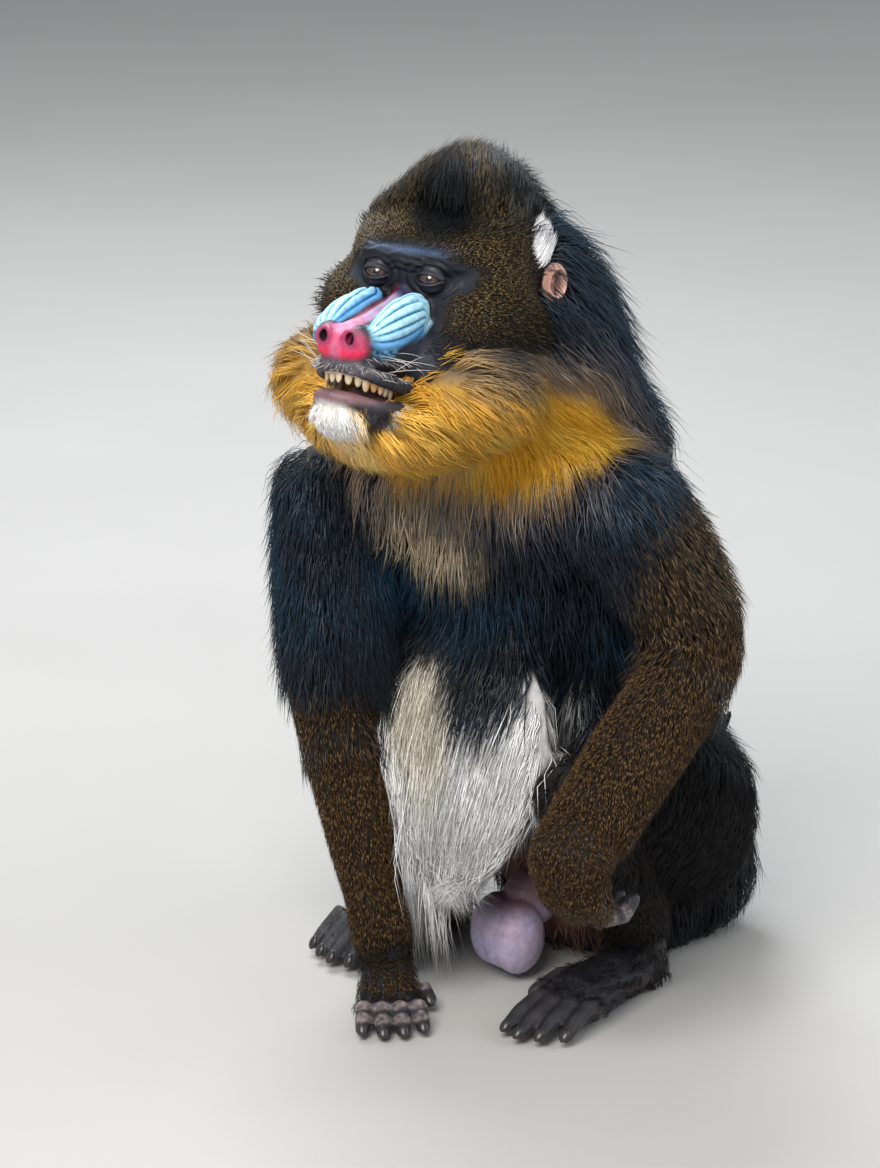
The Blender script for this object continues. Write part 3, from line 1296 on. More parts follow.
def foot_plan(side):
    """The sole's and ankle's pieces, and each toe's joints and radii. The first toe is apart."""
    j = JOINTS[side]
    sign = SIDE_SIGN[side]
    ankle, toe = j["ankle"], j["toe"]
    ahead = Vector((toe.x - ankle.x, toe.y - ankle.y, 0)).normalized()
    wide = Vector((-ahead.y, ahead.x, 0)) * -sign
    if wide.x * sign < 0:
        wide = -wide
    pad = Vector((ankle.x, ankle.y, 0)) + ahead * 0.084
    heel = Vector((ankle.x, ankle.y, 0.018)) - ahead * 0.010
    sole = [
        (heel, 0.023, 0.020),
        (Vector((ankle.x, ankle.y, 0.022)) + ahead * 0.022, 0.024, 0.022),
        (pad + Vector((0, 0, 0.019)), 0.031, 0.017),
        (pad + ahead * 0.018 + Vector((0, 0, 0.015)), 0.031, 0.013),
    ]
    pieces = [limb("sole", sole, wide), ball("ankle", ankle + Vector((0, 0, -0.004)),
                                             (0.024, 0.027, 0.026))]
    curl = FOOT_CURL[side]
    bends = ((0.42, 0.5, curl * 0.6), (0.74, 0.9, curl * 0.1), (1.0, 1.1, -0.0075))
    digits = []
    for i, length in enumerate(TOE_LENGTHS):
        start = pad + wide * (-0.018 + i * DIGIT_GAP) + Vector((0, 0, 0.016))
        digits.append((bent_digit(start, ahead, wide, length * TOE_SHARE[side],
                                  (i - 1.2) * 0.003, bends), (0.0088, 0.0080, 0.0075, 0.0066)))
    start = Vector((ankle.x, ankle.y, 0.016)) + ahead * 0.036 - wide * 0.018
    digits.append(([
        start,
        start + ahead * 0.026 - wide * 0.016 + Vector((0, 0, 0.003)),
        start + ahead * 0.052 - wide * 0.022 + Vector((0, 0, -0.003)),
    ], (0.0125, 0.0115, 0.0090)))
    return pieces, digits


def right_hand_plan():
    """The hand on the ground: palm, four fingers and the thumb."""
    wrist = JOINTS["right"]["wrist"]
    ahead = Vector((0.70, -0.714, 0)).normalized()
    wide = Vector((0.714, 0.70, 0)).normalized()
    heel = Vector((wrist.x, wrist.y, 0))
    palm = [
        (heel + Vector((0, 0, 0.032)), 0.022, 0.020),
        (heel + ahead * 0.014 + Vector((0, 0, 0.021)), 0.024, 0.018),
        (heel + ahead * 0.040 + Vector((0, 0, 0.014)), 0.0255, 0.0135),
    ]
    bends = ((0.40, 0.5, 0.006), (0.74, 0.8, -0.001), (1.0, 1.0, -0.0062))
    digits = []
    for i, length in enumerate(FINGER_LENGTHS):
        start = heel + ahead * 0.042 + wide * (i - 1.5) * DIGIT_GAP + Vector((0, 0, 0.013))
        digits.append((bent_digit(start, ahead, wide, length, (i - 1.5) * 0.003, bends),
                       (0.0084, 0.0078, 0.0072, 0.0064)))
    start = heel + ahead * 0.006 + wide * 0.016 + Vector((0, 0, 0.015))
    digits.append(([start, start + wide * 0.014 + ahead * 0.006,
                    start + wide * 0.018 + ahead * 0.020 - Vector((0, 0, 0.005))],
                   (0.0100, 0.0090, 0.0074)))
    return [limb("palm", palm, wide)], digits


def left_hand_plan():
    """The hand that hangs past the knee, its fingers tucked under."""
    wrist = LEFT_WRIST
    digits = []
    for i in range(4):
        spread = (i - 1.5) * 0.0145
        digits.append(([
            wrist + Vector((spread, -0.004, -0.044)),
            wrist + Vector((spread, 0.010, -0.058)),
            wrist + Vector((0.003 + spread, 0.028, -0.060)),
            wrist + Vector((0.004 + spread, 0.038, -0.050)),
        ], (0.0104, 0.0096, 0.0086, 0.0074)))
    digits.append(([
        wrist + Vector((-0.026, 0.004, -0.020)),
        wrist + Vector((-0.030, 0.012, -0.036)),
        wrist + Vector((-0.024, 0.020, -0.050)),
    ], (0.0105, 0.0096, 0.0078)))
    palm = [(wrist + Vector((-0.001, -0.004, -0.030)), 0.030, 0.022),
            (wrist + Vector((-0.001, 0.000, -0.042)), 0.030, 0.018)]
    return [limb("palm", palm)], digits


EXTREMITIES = {
    "foot_left": foot_plan("left"),
    "foot_right": foot_plan("right"),
    "hand_left": left_hand_plan(),
    "hand_right": right_hand_plan(),
}
KNUCKLE_PINK = {"hand_right": 0.55, "hand_left": 0.5, "foot_left": 0.03, "foot_right": 0.03}


def make_extremity(name, plan):
    """A hand or foot, with folds and paler skin at the joints of its digits."""
    pieces, digits = plan
    pieces = pieces + [digit(places, radii) for places, radii in digits]
    obj = blend(name + "_skin", pieces, DIGIT_VOXEL, 2)
    points, normals = places_of(obj), normals_of(obj)
    moved = np.full(len(points), -BARE_DEPTH)
    tone = np.tile(SKIN_BLACK, (len(points), 1))
    for places, radii in digits:
        for knuckle, radius in list(zip(places, radii))[1:-1]:
            gap = np.linalg.norm(points - np.array(knuckle), axis=1) / radius
            near = step(1.5, 0.9, gap)
            moved = moved + near * 0.00025 * np.sin(gap * 26)
            pink = step(1.25, 0.95, gap) * (0.5 + 0.5 * ripple(points, 500.0))
            tone = mix(tone, FINGER_PINK, np.clip(pink, 0, 1) * KNUCKLE_PINK[name])
    under = step(0.1, -0.5, normals[:, 2])
    tone = mix(tone, tint(92, 74, 72), under * 0.6)
    points = points + normals * moved[:, None]
    points[:, 2] = np.maximum(points[:, 2], 0.0)
    put_places(obj, points)
    put_colour(obj, "tone", tone)
    dress(obj, skin_finish(name + "_skin", 0.45, 1000.0, 0.0004, 0.5, 0.1))
    return obj


def nail_shaper(name, material):
    """An ellipsoid on each point, turned as the point says and sized by its digit's radius."""
    shaper = Shaper(name, NAIL_SIZES)
    given = shaper.given
    ellipsoid = shaper.add("MeshUVSphere", Segments=given["Segments"], Rings=given["Rings"],
                           Radius=1.0).outputs["Mesh"]
    shares = shaper.add("CombineXYZ", family="ShaderNode", X=given["Width"],
                        Y=given["Length"], Z=given["Thickness"]).outputs[0]
    size = shaper.add("VectorMath", {"operation": "SCALE"}, "ShaderNode", i0=shares,
                      Scale=shaper.named("digit_radius", "FLOAT")).outputs[0]
    nails = shaper.add("InstanceOnPoints", Points=given["Geometry"], Instance=ellipsoid,
                       Rotation=shaper.named("turn", "QUATERNION"), Scale=size)
    shaper.finish(nails.outputs[0], material)
    return shaper


def nail_finish(name):
    """Near black, with ridges that run along the nail."""
    net = Net(name)
    ridge = net.noise(900.0, 2.0, 0.5, 0.0, (1.0, 0.15, 1.0)).outputs["Fac"]
    colour = net.colour_mix(ridge, (0.012, 0.011, 0.012, 1), (0.05, 0.045, 0.045, 1))
    return net.finish(Base_Color=colour, Roughness=0.28, Normal=net.bump(ridge, 0.0002, 0.5))


def make_nails(name, plan):
    """One curved nail on the end of each digit."""
    bases, turns, radii = [], [], []
    for places, digit_radii in plan[1]:
        tip, before = places[-1], places[-2]
        along = (tip - before).normalized()
        up = NAIL_UP.get(name, Vector((0, 0, 1)))
        up = (up - along * up.dot(along)).normalized()
        radius = digit_radii[-1]
        bases.append(tip + along * radius * 0.05 + up * radius * 0.50)
        shape = Matrix((along.cross(up), along, up)).transposed()
        turns.append((shape @ Matrix.Rotation(NAIL_TILT, 3, "X")).to_quaternion())
        radii.append(radius)
    obj = mesh_object(name + "_nails", bases, [])
    put_value(obj, "digit_radius", radii)
    layer = obj.data.attributes.new("turn", "QUATERNION", "POINT")
    layer.data.foreach_set("value", np.array(turns, np.float32).ravel())
    nail_shaper(name + "_nails", nail_finish(name + "_nail")).shape(obj)
    return obj


# The coat.
class Surface:
    """A skin's faces, for choosing roots and for keeping hair above it."""

    def __init__(self, objects):
        points, triangles = [], []
        start = 0
        for obj in objects:
            mesh = obj.data
            mesh.calc_loop_triangles()
            index = np.empty(len(mesh.loop_triangles) * 3, np.int32)
            mesh.loop_triangles.foreach_get("vertices", index)
            points.append(places_of(obj))
            triangles.append(index.reshape(-1, 3) + start)
            start += len(mesh.vertices)
        self.points = np.vstack(points)
        self.triangles = np.vstack(triangles)
        a, b, c = (self.points[self.triangles[:, i]] for i in range(3))
        cross = np.cross(b - a, c - a)
        self.areas = np.linalg.norm(cross, axis=1) / 2
        self.centres = (a + b + c) / 3
        self.normals = unit(cross)

    def tree(self):
        """For finding the nearest place on the skin."""
        return BVHTree.FromPolygons(self.points.tolist(), self.triangles.tolist())

    def roots(self, count, density, rng):
        """Random places, chosen in proportion to area times density at each face's centre."""
        weight = self.areas * density
        chosen = rng.choice(len(weight), size=count, p=weight / weight.sum())
        a, b = np.sort(rng.random((2, count)), axis=0)
        corners = self.points[self.triangles[chosen]]
        places = corners[:, 0] * a[:, None] + corners[:, 1] * (b - a)[:, None] \
            + corners[:, 2] * (1 - b)[:, None]
        return places, self.normals[chosen]


PATH_STEPS = 7
SHORTEST_HAIR = 0.004
REACH_OF_GUIDE = 0.020   # farthest that a tuft's root may be from the guide it follows


def guide_paths(tree, roots, normals, flow_at, length, rise, hang):
    """Paths that run along the skin with the coat's lie, rising to their tips and hanging."""
    count = len(roots)
    paths = np.empty((count, PATH_STEPS, 3))
    ups = np.empty((count, PATH_STEPS, 3))
    paths[:, 0] = roots
    ups[:, 0] = normals
    place, up = roots.copy(), normals.copy()
    for k in range(1, PATH_STEPS):
        t = k / (PATH_STEPS - 1)
        way = unit(flow_at(place))
        outward = np.sum(way * up, axis=1)
        outward = outward * np.where(outward > 0, 1 - np.clip(hang, 0, 1), 1)
        way = unit(way - up * outward[:, None])
        way[:, 2] -= hang * t
        way = unit(way)
        place = place + way * (length / (PATH_STEPS - 1))[:, None]
        want = rise * (1 - (1 - t) ** 1.6)
        for i in range(count):
            spot, normal, _, _ = tree.find_nearest(place[i])
            gap = (place[i] - np.array(spot)) @ np.array(normal)
            high = max(gap, want[i]) if hang[i] * t > 0.25 else want[i] * 0.75 + gap * 0.25
            high = max(high, want[i] * 0.6)
            up[i] = normal
            place[i] = np.array(spot) + up[i] * high    # never inside the skin
        paths[:, k] = place
        ups[:, k] = up
    steps = np.linalg.norm(np.diff(paths, axis=1), axis=2) / (length / (PATH_STEPS - 1))[:, None]
    sound = (steps[:, 1:].max(axis=1) < 1.9) & (steps[:, 0] < 2.6)
    return paths, ups, sound


def along_paths(paths, shares):
    """Places on paths, at shares of their length (count by steps)."""
    position = np.clip(shares, 0, 1) * (PATH_STEPS - 1)
    low = np.minimum(position.astype(int), PATH_STEPS - 2)
    part = (position - low)[..., None]
    rows = np.arange(len(paths))[:, None]
    return paths[rows, low] * (1 - part) + paths[rows, low + 1] * part


def nearest_of(points, queries):
    """For each query, the index of the nearest point and its distance."""
    tree = KDTree(len(points))
    for i, p in enumerate(points):
        tree.insert(p, i)
    tree.balance()
    found = [tree.find(q) for q in queries]
    return np.array([f[1] for f in found]), np.array([f[2] for f in found])


def tuft_mesh(name, centres, ups, widths, tones, flecks, chances, atlas, flat=0.5):
    """Closed three-sided tufts, pointed at root and tip, with a ring at each centre between."""
    count, rings = centres.shape[0], centres.shape[1] - 2
    along = unit(centres[:, 2:] - centres[:, :-2])
    up = unit(ups[:, 1:-1] - along * np.sum(ups[:, 1:-1] * along, axis=2, keepdims=True))
    side = np.cross(along, up)
    shares = np.linspace(0, 1, rings + 2)
    profile = np.interp(shares[1:-1], (0.2, 0.5, 1), (1.0, 0.92, 0.30))
    half = widths[:, None, None] * profile[None, :, None] / 2
    ring = centres[:, 1:-1]
    left = ring + side * half - up * half * flat * 0.5
    right = ring - side * half - up * half * flat * 0.5
    top = ring + up * half * flat
    body = np.stack([left, right, top], axis=2).reshape(count, rings * 3, 3)
    points = np.concatenate([body, centres[:, :1], centres[:, -1:]], axis=1)
    size = rings * 3 + 2
    faces = [((a + 1) % 3, a, size - 2) for a in range(3)]
    for r in range(rings - 1):
        for a in range(3):
            b = (a + 1) % 3
            low, high = r * 3, r * 3 + 3
            faces += [(low + a, low + b, high + b), (low + a, high + b, high + a)]
    last = (rings - 1) * 3
    faces += [(last + a, last + (a + 1) % 3, size - 1) for a in range(3)]
    faces = np.array(faces)
    everything = (faces[None] + np.arange(count)[:, None, None] * size).reshape(-1, 3)
    mesh = bpy.data.meshes.new(name)
    mesh.vertices.add(count * size)
    mesh.vertices.foreach_set("co", points.ravel())
    mesh.loops.add(len(everything) * 3)
    mesh.loops.foreach_set("vertex_index", everything.ravel().astype(np.int32))
    mesh.polygons.add(len(everything))
    mesh.polygons.foreach_set("loop_start", np.arange(0, len(everything) * 3, 3, dtype=np.int32))
    mesh.update(calc_edges=True)
    obj = new_object(name, mesh)
    put_colour(obj, "tone", np.repeat(tones, size, axis=0))
    part = np.concatenate([np.repeat(shares[1:-1], 3), [0.0, 1.0]])
    put_value(obj, "along", np.tile(part, count))
    put_value(obj, "chance", np.repeat(chances, size))
    put_value(obj, "fleck", np.repeat(flecks, size))
    layer = mesh.uv_layers.new(name="OFBake")
    offset = np.concatenate([np.tile([[-0.5, 0], [0.5, 0], [0, 0]], (rings, 1)), [[0, 0], [0, 0]]])
    offset[:, 1] = part - 0.5
    flat_map = (atlas[:, None] + offset[None] * PATCH).reshape(-1, 2)
    layer.data.foreach_set("uv", flat_map[everything.ravel()].ravel())
    smooth_faces(obj)
    return obj


def unwrap(points, areas):
    """Where each place is on an unwrap made of one strip for each area: round it and along it."""
    gaps = np.array([area.reach(points) / area.radius for area in areas])
    nearest = np.argmin(gaps, axis=0)
    result = np.empty((len(points), 2))
    for i, area in enumerate(areas):
        mine = nearest == i
        if not mine.any():
            continue
        axis = unit(area.end - area.start)
        first = unit(np.cross(axis, (0.3, 1.0, 0.2)))
        second = np.cross(axis, first)
        offset = points[mine] - area.start
        turn = np.arctan2(offset @ second, offset @ first) / (2 * math.pi) + 0.5
        reach = np.linalg.norm(area.end - area.start)
        high = (offset @ axis / reach + 0.5) / 2
        result[mine, 0] = 0.01 + 0.98 * turn
        result[mine, 1] = (i + 0.04 + 0.92 * np.clip(high, 0, 1)) / len(areas)
    return result


def pick(fields, wanted):
    """The fields at the wanted places alone."""
    return {key: values[wanted] for key, values in fields.items()}


def guide_hairs(surface, tree, fields_at, weight, count, rng):
    """The hairs that the tufts round them follow: roots, fields, paths and the ways up."""
    roots, normals = surface.roots(count, weight, rng)
    fields = fields_at(roots, normals)
    keep = fields["length"] > SHORTEST_HAIR
    roots, normals, fields = roots[keep], normals[keep], pick(fields, keep)

    def flow_at(places):
        return fields_at(places, normals)["flow"]

    paths, ups, sound = guide_paths(tree, roots, normals, flow_at, fields["length"],
                                    fields["rise"], fields["hang"])
    return roots[sound], pick(fields, sound), paths[sound], ups[sound]


def grow(name, surface, tree, fields_at, areas, density, count, guides, knots, seed, clump=0.6,
         frizz=0.004, stretch=(0.78, 1.12), thick=1.0, finish=None):
    """One piece of the coat: tufts that follow guide hairs and draw together to their tips."""
    rng = np.random.default_rng(seed)
    weight = density(surface.centres, surface.normals)
    roots, fields, paths, ups = guide_hairs(surface, tree, fields_at, weight, guides, rng)
    spots, ways = surface.roots(count, weight, rng)
    own = fields_at(spots, ways)
    allowed = own["length"] > SHORTEST_HAIR
    spots, ways, own = spots[allowed], ways[allowed], pick(own, allowed)
    guide, away = nearest_of(roots, spots)
    near = away < REACH_OF_GUIDE
    spots, ways, guide, own = spots[near], ways[near], guide[near], pick(own, near)
    total = len(spots)
    scale = rng.uniform(*stretch, total) * own["length"] / fields["length"][guide]
    shares = np.linspace(0, 1, knots)[None] * np.minimum(scale, stretch[1])[:, None]
    centres = along_paths(paths[guide], shares)
    beyond = np.maximum(shares[:, -1:] - 1.0, 0)
    centres[:, -1] += unit(centres[:, -1] - centres[:, -2]) * beyond * own["length"][:, None]
    part = np.linspace(0, 1, knots)
    pull = 1 - clump * part ** 1.3
    centres = centres + (spots - roots[guide])[:, None] * pull[None, :, None]
    wander = rng.normal(size=(total, 1, 3)) * frizz * (part ** 1.5)[None, :, None]
    curl = rng.normal(size=(total, 1, 3)) * frizz * 0.5 * np.sin(part * 5.0)[None, :, None]
    centres = centres + (wander + curl) * (own["length"] / 0.06)[:, None, None] ** 0.7
    centres[:, 0] -= ways * ROOT_SINK
    centres[..., 2] = np.maximum(centres[..., 2], FLOOR_GAP)
    widths = own["width"] * thick * rng.uniform(0.7, 1.25, total)
    obj = tuft_mesh(name, centres, along_paths(ups[guide], shares), widths, own["colour"],
                    own["fleck"], rng.random(total), unwrap(spots, areas))
    obj.data.materials.append(finish)
    print(name, total, "tufts", len(obj.data.polygons), "triangles")
    return obj


def head_fields(points, normals):
    """Flow, hair values and colour over the head."""
    local = to_head(points)
    x, y, z = local.T
    count = len(points)
    side = np.sign(x)
    ones = np.ones(count)
    back = np.column_stack([x * 0.012, ones, ones * 0.25])
    crest = np.column_stack([-x * 0.03, ones, ones * 0.75])
    cheek = np.column_stack([side * 0.45, ones, -ones * 0.35])
    low = np.column_stack([side * 0.35, ones * 0.9, -ones * 0.7])
    flow = mix(unit(back), unit(crest), step(34, 58, z))
    flow = mix(flow, unit(cheek), step(20, -20, z))
    flow = mix(flow, unit(low), step(-50, -80, z))
    behind = step(110, 140, y)
    flow = mix(flow, unit(np.column_stack([x * 0.01, ones * 0.7, -ones])), behind)
    inward = fur_edge(local)
    length = mix(np.full(count, 0.012), 0.017, step(30, 70, y))
    length = mix(length, 0.026, step(-50, -66, z) * step(4, 14, inward))
    length = mix(length, 0.0055, step(14, 0, inward))
    length = mix(length, 0.008, blob(mirrored(local), (80, 76, 8), (20, 34, 34), 0.3))
    rise = length * 0.28
    hang = np.full(count, 0.06)
    width = mix(np.full(count, 0.0007), 0.0010, step(0.012, 0.03, length))
    fleck = 0.72 * step(-56, -22, z) * step(72, 46, y) * step(76, 60, z)
    fleck = fleck * (1 - blob(local, BLACK_PATCH, BLACK_RADII, 0.3)) * step(-2, 8, inward)
    return dict(flow=unit(flow) @ HEAD_TURN.T, length=length, rise=rise, hang=hang,
                width=width, fleck=fleck, colour=face_colour(local))


def crown_fields(points, normals):
    """The long dark hairs that stand over the head's short fur."""
    fields = head_fields(points, normals)
    local = to_head(points)
    x, y, z = local.T
    gold = step(1.6, 1.2, ruff_reach(local))
    crest = blob(local, (4, 84, 72), (44, 74, 36), 0.4)
    length = mix(np.full(len(points), 0.026), 0.046, np.maximum(crest, step(84, 120, y)))
    length = mix(length, 0.040, step(-20, -70, z) * step(20, 50, y))
    length = mix(length, 0.018, step(50, 66, np.abs(x)) * step(70, 90, y) * step(30, 10, z))
    near_ear = blob(mirrored(local), (80, 72, 8), (22, 38, 36), 0.3)
    fields["length"] = mix(length, 0.0, near_ear)
    fields["rise"] = mix(length * 0.40, 0.024, crest) * (1 - 0.5 * gold)
    fields["width"] = mix(np.full(len(points), 0.0008), 0.0010, crest)
    fields["fleck"] = fields["fleck"] * 0.35 + 0.55 * blob(local, (16, 52, 72), (24, 18, 16), 0.4)
    fields["colour"] = fields["colour"] * mix(0.55, 1.0, gold)[:, None]
    return fields


def ear_tuft_fields(points, normals):
    """The white tuft above and before each ear."""
    fields = head_fields(points, normals)
    count = len(points)
    side = np.sign(to_head(points)[:, 0])
    flow = np.column_stack([side * 0.25, np.full(count, 0.55), np.full(count, 0.75)])
    fields.update(flow=flow @ HEAD_TURN.T, length=np.full(count, 0.030), fleck=np.zeros(count),
                  rise=np.full(count, 0.008), width=np.full(count, 0.0010),
                  colour=np.tile(tint(236, 234, 236), (count, 1)))
    return fields


def jaw_fields(points, normals):
    """The beard: it falls from the chin and the jaw, and turns back to the ruff."""
    local = to_head(points)
    x, _, z = local.T
    count = len(points)
    flow = np.column_stack([x * 0.012, np.full(count, 0.55), np.full(count, -1.0)])
    folded = mirrored(local)
    chin = blob(local, (-3, -97, -104), (21, 20, 14), 0.25)
    cheek = blob(folded, (34, -54, -106), (12, 14, 18), 0.5)
    bare = blob(folded, (28, -80, -102), (13, 17, 14), 0.3)
    length = mix(np.full(count, 0.060), 0.020, chin)
    length = mix(length, 0.0055, bare)
    length = mix(length, 0.014, cheek)
    length = length * mix(0.15, 1.0, step(-92, -98, z))
    colour = mix(GOLD, DEEP_GOLD, 0.5 + 0.5 * ripple(local, 0.08, 2.0))
    colour = mix(colour, CREAM, cheek * 0.9)
    colour = mix(colour, PALE_GOLD, blob(local, (0, -84, -119), (24, 26, 8), 0.6) * 0.6)
    colour = mix(colour, tint(52, 50, 56), bare)
    colour = mix(colour, CREAM, chin)
    return dict(flow=unit(flow) @ HEAD_TURN.T, length=length, rise=length * 0.22,
                hang=np.full(count, 0.10), width=mix(0.0006, 0.0010, step(0.01, 0.05, length)),
                fleck=np.zeros(count), colour=colour)


# Where the roots of the head's coats are: more of them where the value is larger.
def ear_tufted(points, normals):
    """A patch above and before each ear."""
    return blob(mirrored(to_head(points)), (75, 73, 20), (14, 10, 14), 0.2) + BARELY


def furred_head(points, normals):
    """All the fur, thickest on the face."""
    local = to_head(points)
    inward = fur_edge(local)
    return step(0, 3, inward) * (0.30 + 0.70 * step(110, 50, local[:, 1])) \
        * (0.45 + 0.55 * step(60, 10, inward)) + BARELY


def crowned(points, normals):
    """The part of the head whose hair is long: crown, nape and the back of the cheeks."""
    local = to_head(points)
    _, y, z = local.T
    crown = step(24, 46, z) * step(4, 26, y)
    sides = 0.25 * step(14, 40, fur_edge(local))
    return np.maximum(np.maximum(crown, step(60, 90, y) * 0.5),
                      np.maximum(sides, step(-15, -40, z) * step(20, 45, y))) + BARELY


def bearded(points, normals):
    """The jaw below the lip, and behind the mouth."""
    _, y, z = to_head(points).T
    return np.maximum(step(-93, -99, z), step(-20, 10, y)) + BARELY


SHORT_WHISKERS = 120      # on each side of the muzzle
LONG_WHISKERS = 8
STUBBLE = 260             # on the middle of the upper lip
WHISKER_KNOTS = 6


def whisker_paths():
    """Roots, ways, lengths and colours of single stiff hairs on muzzle and upper lip."""
    rng = np.random.default_rng(77)
    hairs = []
    for sign in (-1, 1):
        for _ in range(SHORT_WHISKERS):
            y = rng.uniform(-98, -36)
            z = -60 - 0.18 * (y + 98) - rng.uniform(-4, 6)
            x = sign * (np.interp(y, (-98, -86, -60, -30), (16, 25, 32, 37)) + rng.normal() * 0.5)
            way = (sign * rng.uniform(0.6, 1.2), rng.uniform(-0.3, 0.6), rng.uniform(-0.75, 0.05))
            length = rng.uniform(4, 10)
            tone = tint(222, 218, 216) if rng.random() < 0.55 else tint(40, 38, 42)
            hairs.append(((x, y, z), way, length, tone))
        for _ in range(LONG_WHISKERS):
            y = rng.uniform(-92, -42)
            root = (sign * np.interp(y, (-92, -42), (24, 34)), y, rng.uniform(-74, -54))
            way = (sign * rng.uniform(0.7, 1.1), rng.uniform(-0.6, 0.35), rng.uniform(0.0, 0.75))
            hairs.append((root, way, rng.uniform(26, 48), tint(240, 238, 236)))
    for _ in range(STUBBLE):
        x = rng.uniform(-28, 28)
        root = (x, -101 + x * x * 0.022, -62 - rng.uniform(0, 6))
        way = (x * 0.03 + rng.normal() * 0.25, -0.9, -0.4)
        length = rng.uniform(2.5, 5)
        tone = tint(214, 208, 208) if rng.random() < 0.5 else tint(40, 36, 40)
        hairs.append((root, way, length, tone))
    return (np.array(values) for values in zip(*hairs))


def make_whiskers(tree):
    """The single hairs, each brought to the skin and drooping to its tip."""
    roots, ways, lengths, tones = whisker_paths()
    ways = unit(ways) @ HEAD_TURN.T
    places = np.array([tree.find_nearest(p)[0] for p in from_head(roots)])
    part = np.linspace(0, 1, WHISKER_KNOTS)
    droop = np.array((0, 0, -0.16)) * (part ** 2)[:, None]
    centres = places[:, None] + (ways[:, None] * part[None, :, None] + droop[None]) \
        * (lengths * MM)[:, None, None]
    centres[:, 0] -= ways * 0.0015
    count = len(roots)
    ups = np.tile(np.array((0.0, -0.3, 1.0)), (count, WHISKER_KNOTS, 1))
    obj = tuft_mesh("whiskers", centres, ups, np.where(lengths > 16, 0.00036, 0.00030), tones,
                    np.zeros(count), np.full(count, 0.5), unwrap(places, BODY_AREAS), 1.0)
    obj.data.materials.append(coat_finish("whisker", 0.35, 0.5, (1, 1, 1, 1), 0.9))
    return obj


FLOOR_HALF = 9.0
LAMP_TARGET = Vector((0, -0.15, 0.35))
# Each lamp: its azimuth and elevation from the camera's side, distance, width, watts and colour.
LAMPS = {
    "key": ((-20, 42), 3.0, 2.0, 104.0, (1.0, 0.97, 0.93)),
    "fill": ((84, 28), 3.2, 2.4, 34.0, (0.90, 0.95, 1.0)),
    "rim": ((196, 46), 2.8, 1.6, 70.0, (0.93, 0.97, 1.0)),
}


def make_lamp(name, azimuth, elevation, distance, width, power, tone):
    """A soft round lamp that faces the animal."""
    data = bpy.data.lights.new(name, "AREA")
    data.shape = "DISK"
    data.size = width
    data.energy = power
    data.color = tone
    lamp = new_object(name, data)
    a = CAMERA_AZIMUTH + math.radians(azimuth)
    e = math.radians(elevation)
    way = Vector((math.sin(a) * math.cos(e), -math.cos(a) * math.cos(e), math.sin(e)))
    lamp.location = LAMP_TARGET + way * distance
    lamp.rotation_mode = "QUATERNION"
    lamp.rotation_quaternion = way.to_track_quat("Z", "Y")


def make_stage():
    """A wide pale floor, and soft studio light."""
    far = FLOOR_HALF
    floor = mesh_object("floor", [(-far, -far, 0), (far, -far, 0), (far, far, 0), (-far, far, 0)],
                        [(0, 1, 2, 3)])
    net = Net("floor_paper")
    grain = net.noise(3.0, 4.0).outputs["Fac"]
    colour = net.colour_mix(grain, (0.44, 0.43, 0.415, 1), (0.50, 0.49, 0.475, 1))
    floor.data.materials.append(net.finish(Base_Color=colour, Roughness=0.85))
    for name, (place, *rest) in LAMPS.items():
        make_lamp(name, *place, *rest)
    world = bpy.data.worlds.new("studio")
    world.use_nodes = True
    sky = world.node_tree.nodes["Background"].inputs
    sky["Color"].default_value = (0.86, 0.90, 0.95, 1)
    sky["Strength"].default_value = 0.45
    bpy.context.scene.world = world
    bpy.context.scene.view_settings.view_transform = "Standard"


# Where the roots of the body's coats are: more of them where the value is larger.
def only(*names, extra):
    """On the areas whose names start so, times an extra share of the fields and places."""
    index = [i for i, area in enumerate(BODY_AREAS) if area.name.startswith(names)]

    def density(points, normals):
        fields = body_fields(points, normals)
        weight = fields["shares"][:, index].sum(axis=1) ** 2 * extra(fields, points)
        return weight * (1 - fields["bare"]) + BARELY
    return density


def not_pale(fields, points):
    """Neither belly nor ruff nor the flat on the ground, and thicker in the right armpit."""
    off_ground = step(0.01, 0.03, points[:, 2])
    return (1 - fields["belly"]) * (1 - fields["ruff"]) * off_ground * (1 + 4 * fields["armpit"])


def in_ruff(fields, _points):
    """The golden ruff round the neck."""
    return fields["ruff"]


def bellied(points, normals):
    """The belly, and more of it low down on the right, where the fringe hangs."""
    low = step(0.20, 0.14, points[:, 2]) * (1 + step(0.03, -0.01, points[:, 0]))
    return body_fields(points, normals)["belly"] * (1 + 2 * low) + BARELY


def off_digits(fields, points):
    """Hair thins out toward the digits and the soles."""
    thin = np.ones(len(points))
    for plan in EXTREMITIES.values():
        for places, _ in plan[1]:
            for place in places[1:]:
                gap = np.linalg.norm(points - np.array(place), axis=1)
                thin = np.minimum(thin, step(0.010, 0.017, gap))
    return thin * step(0.006, 0.014, points[:, 2]) * (1 - fields["belly"])


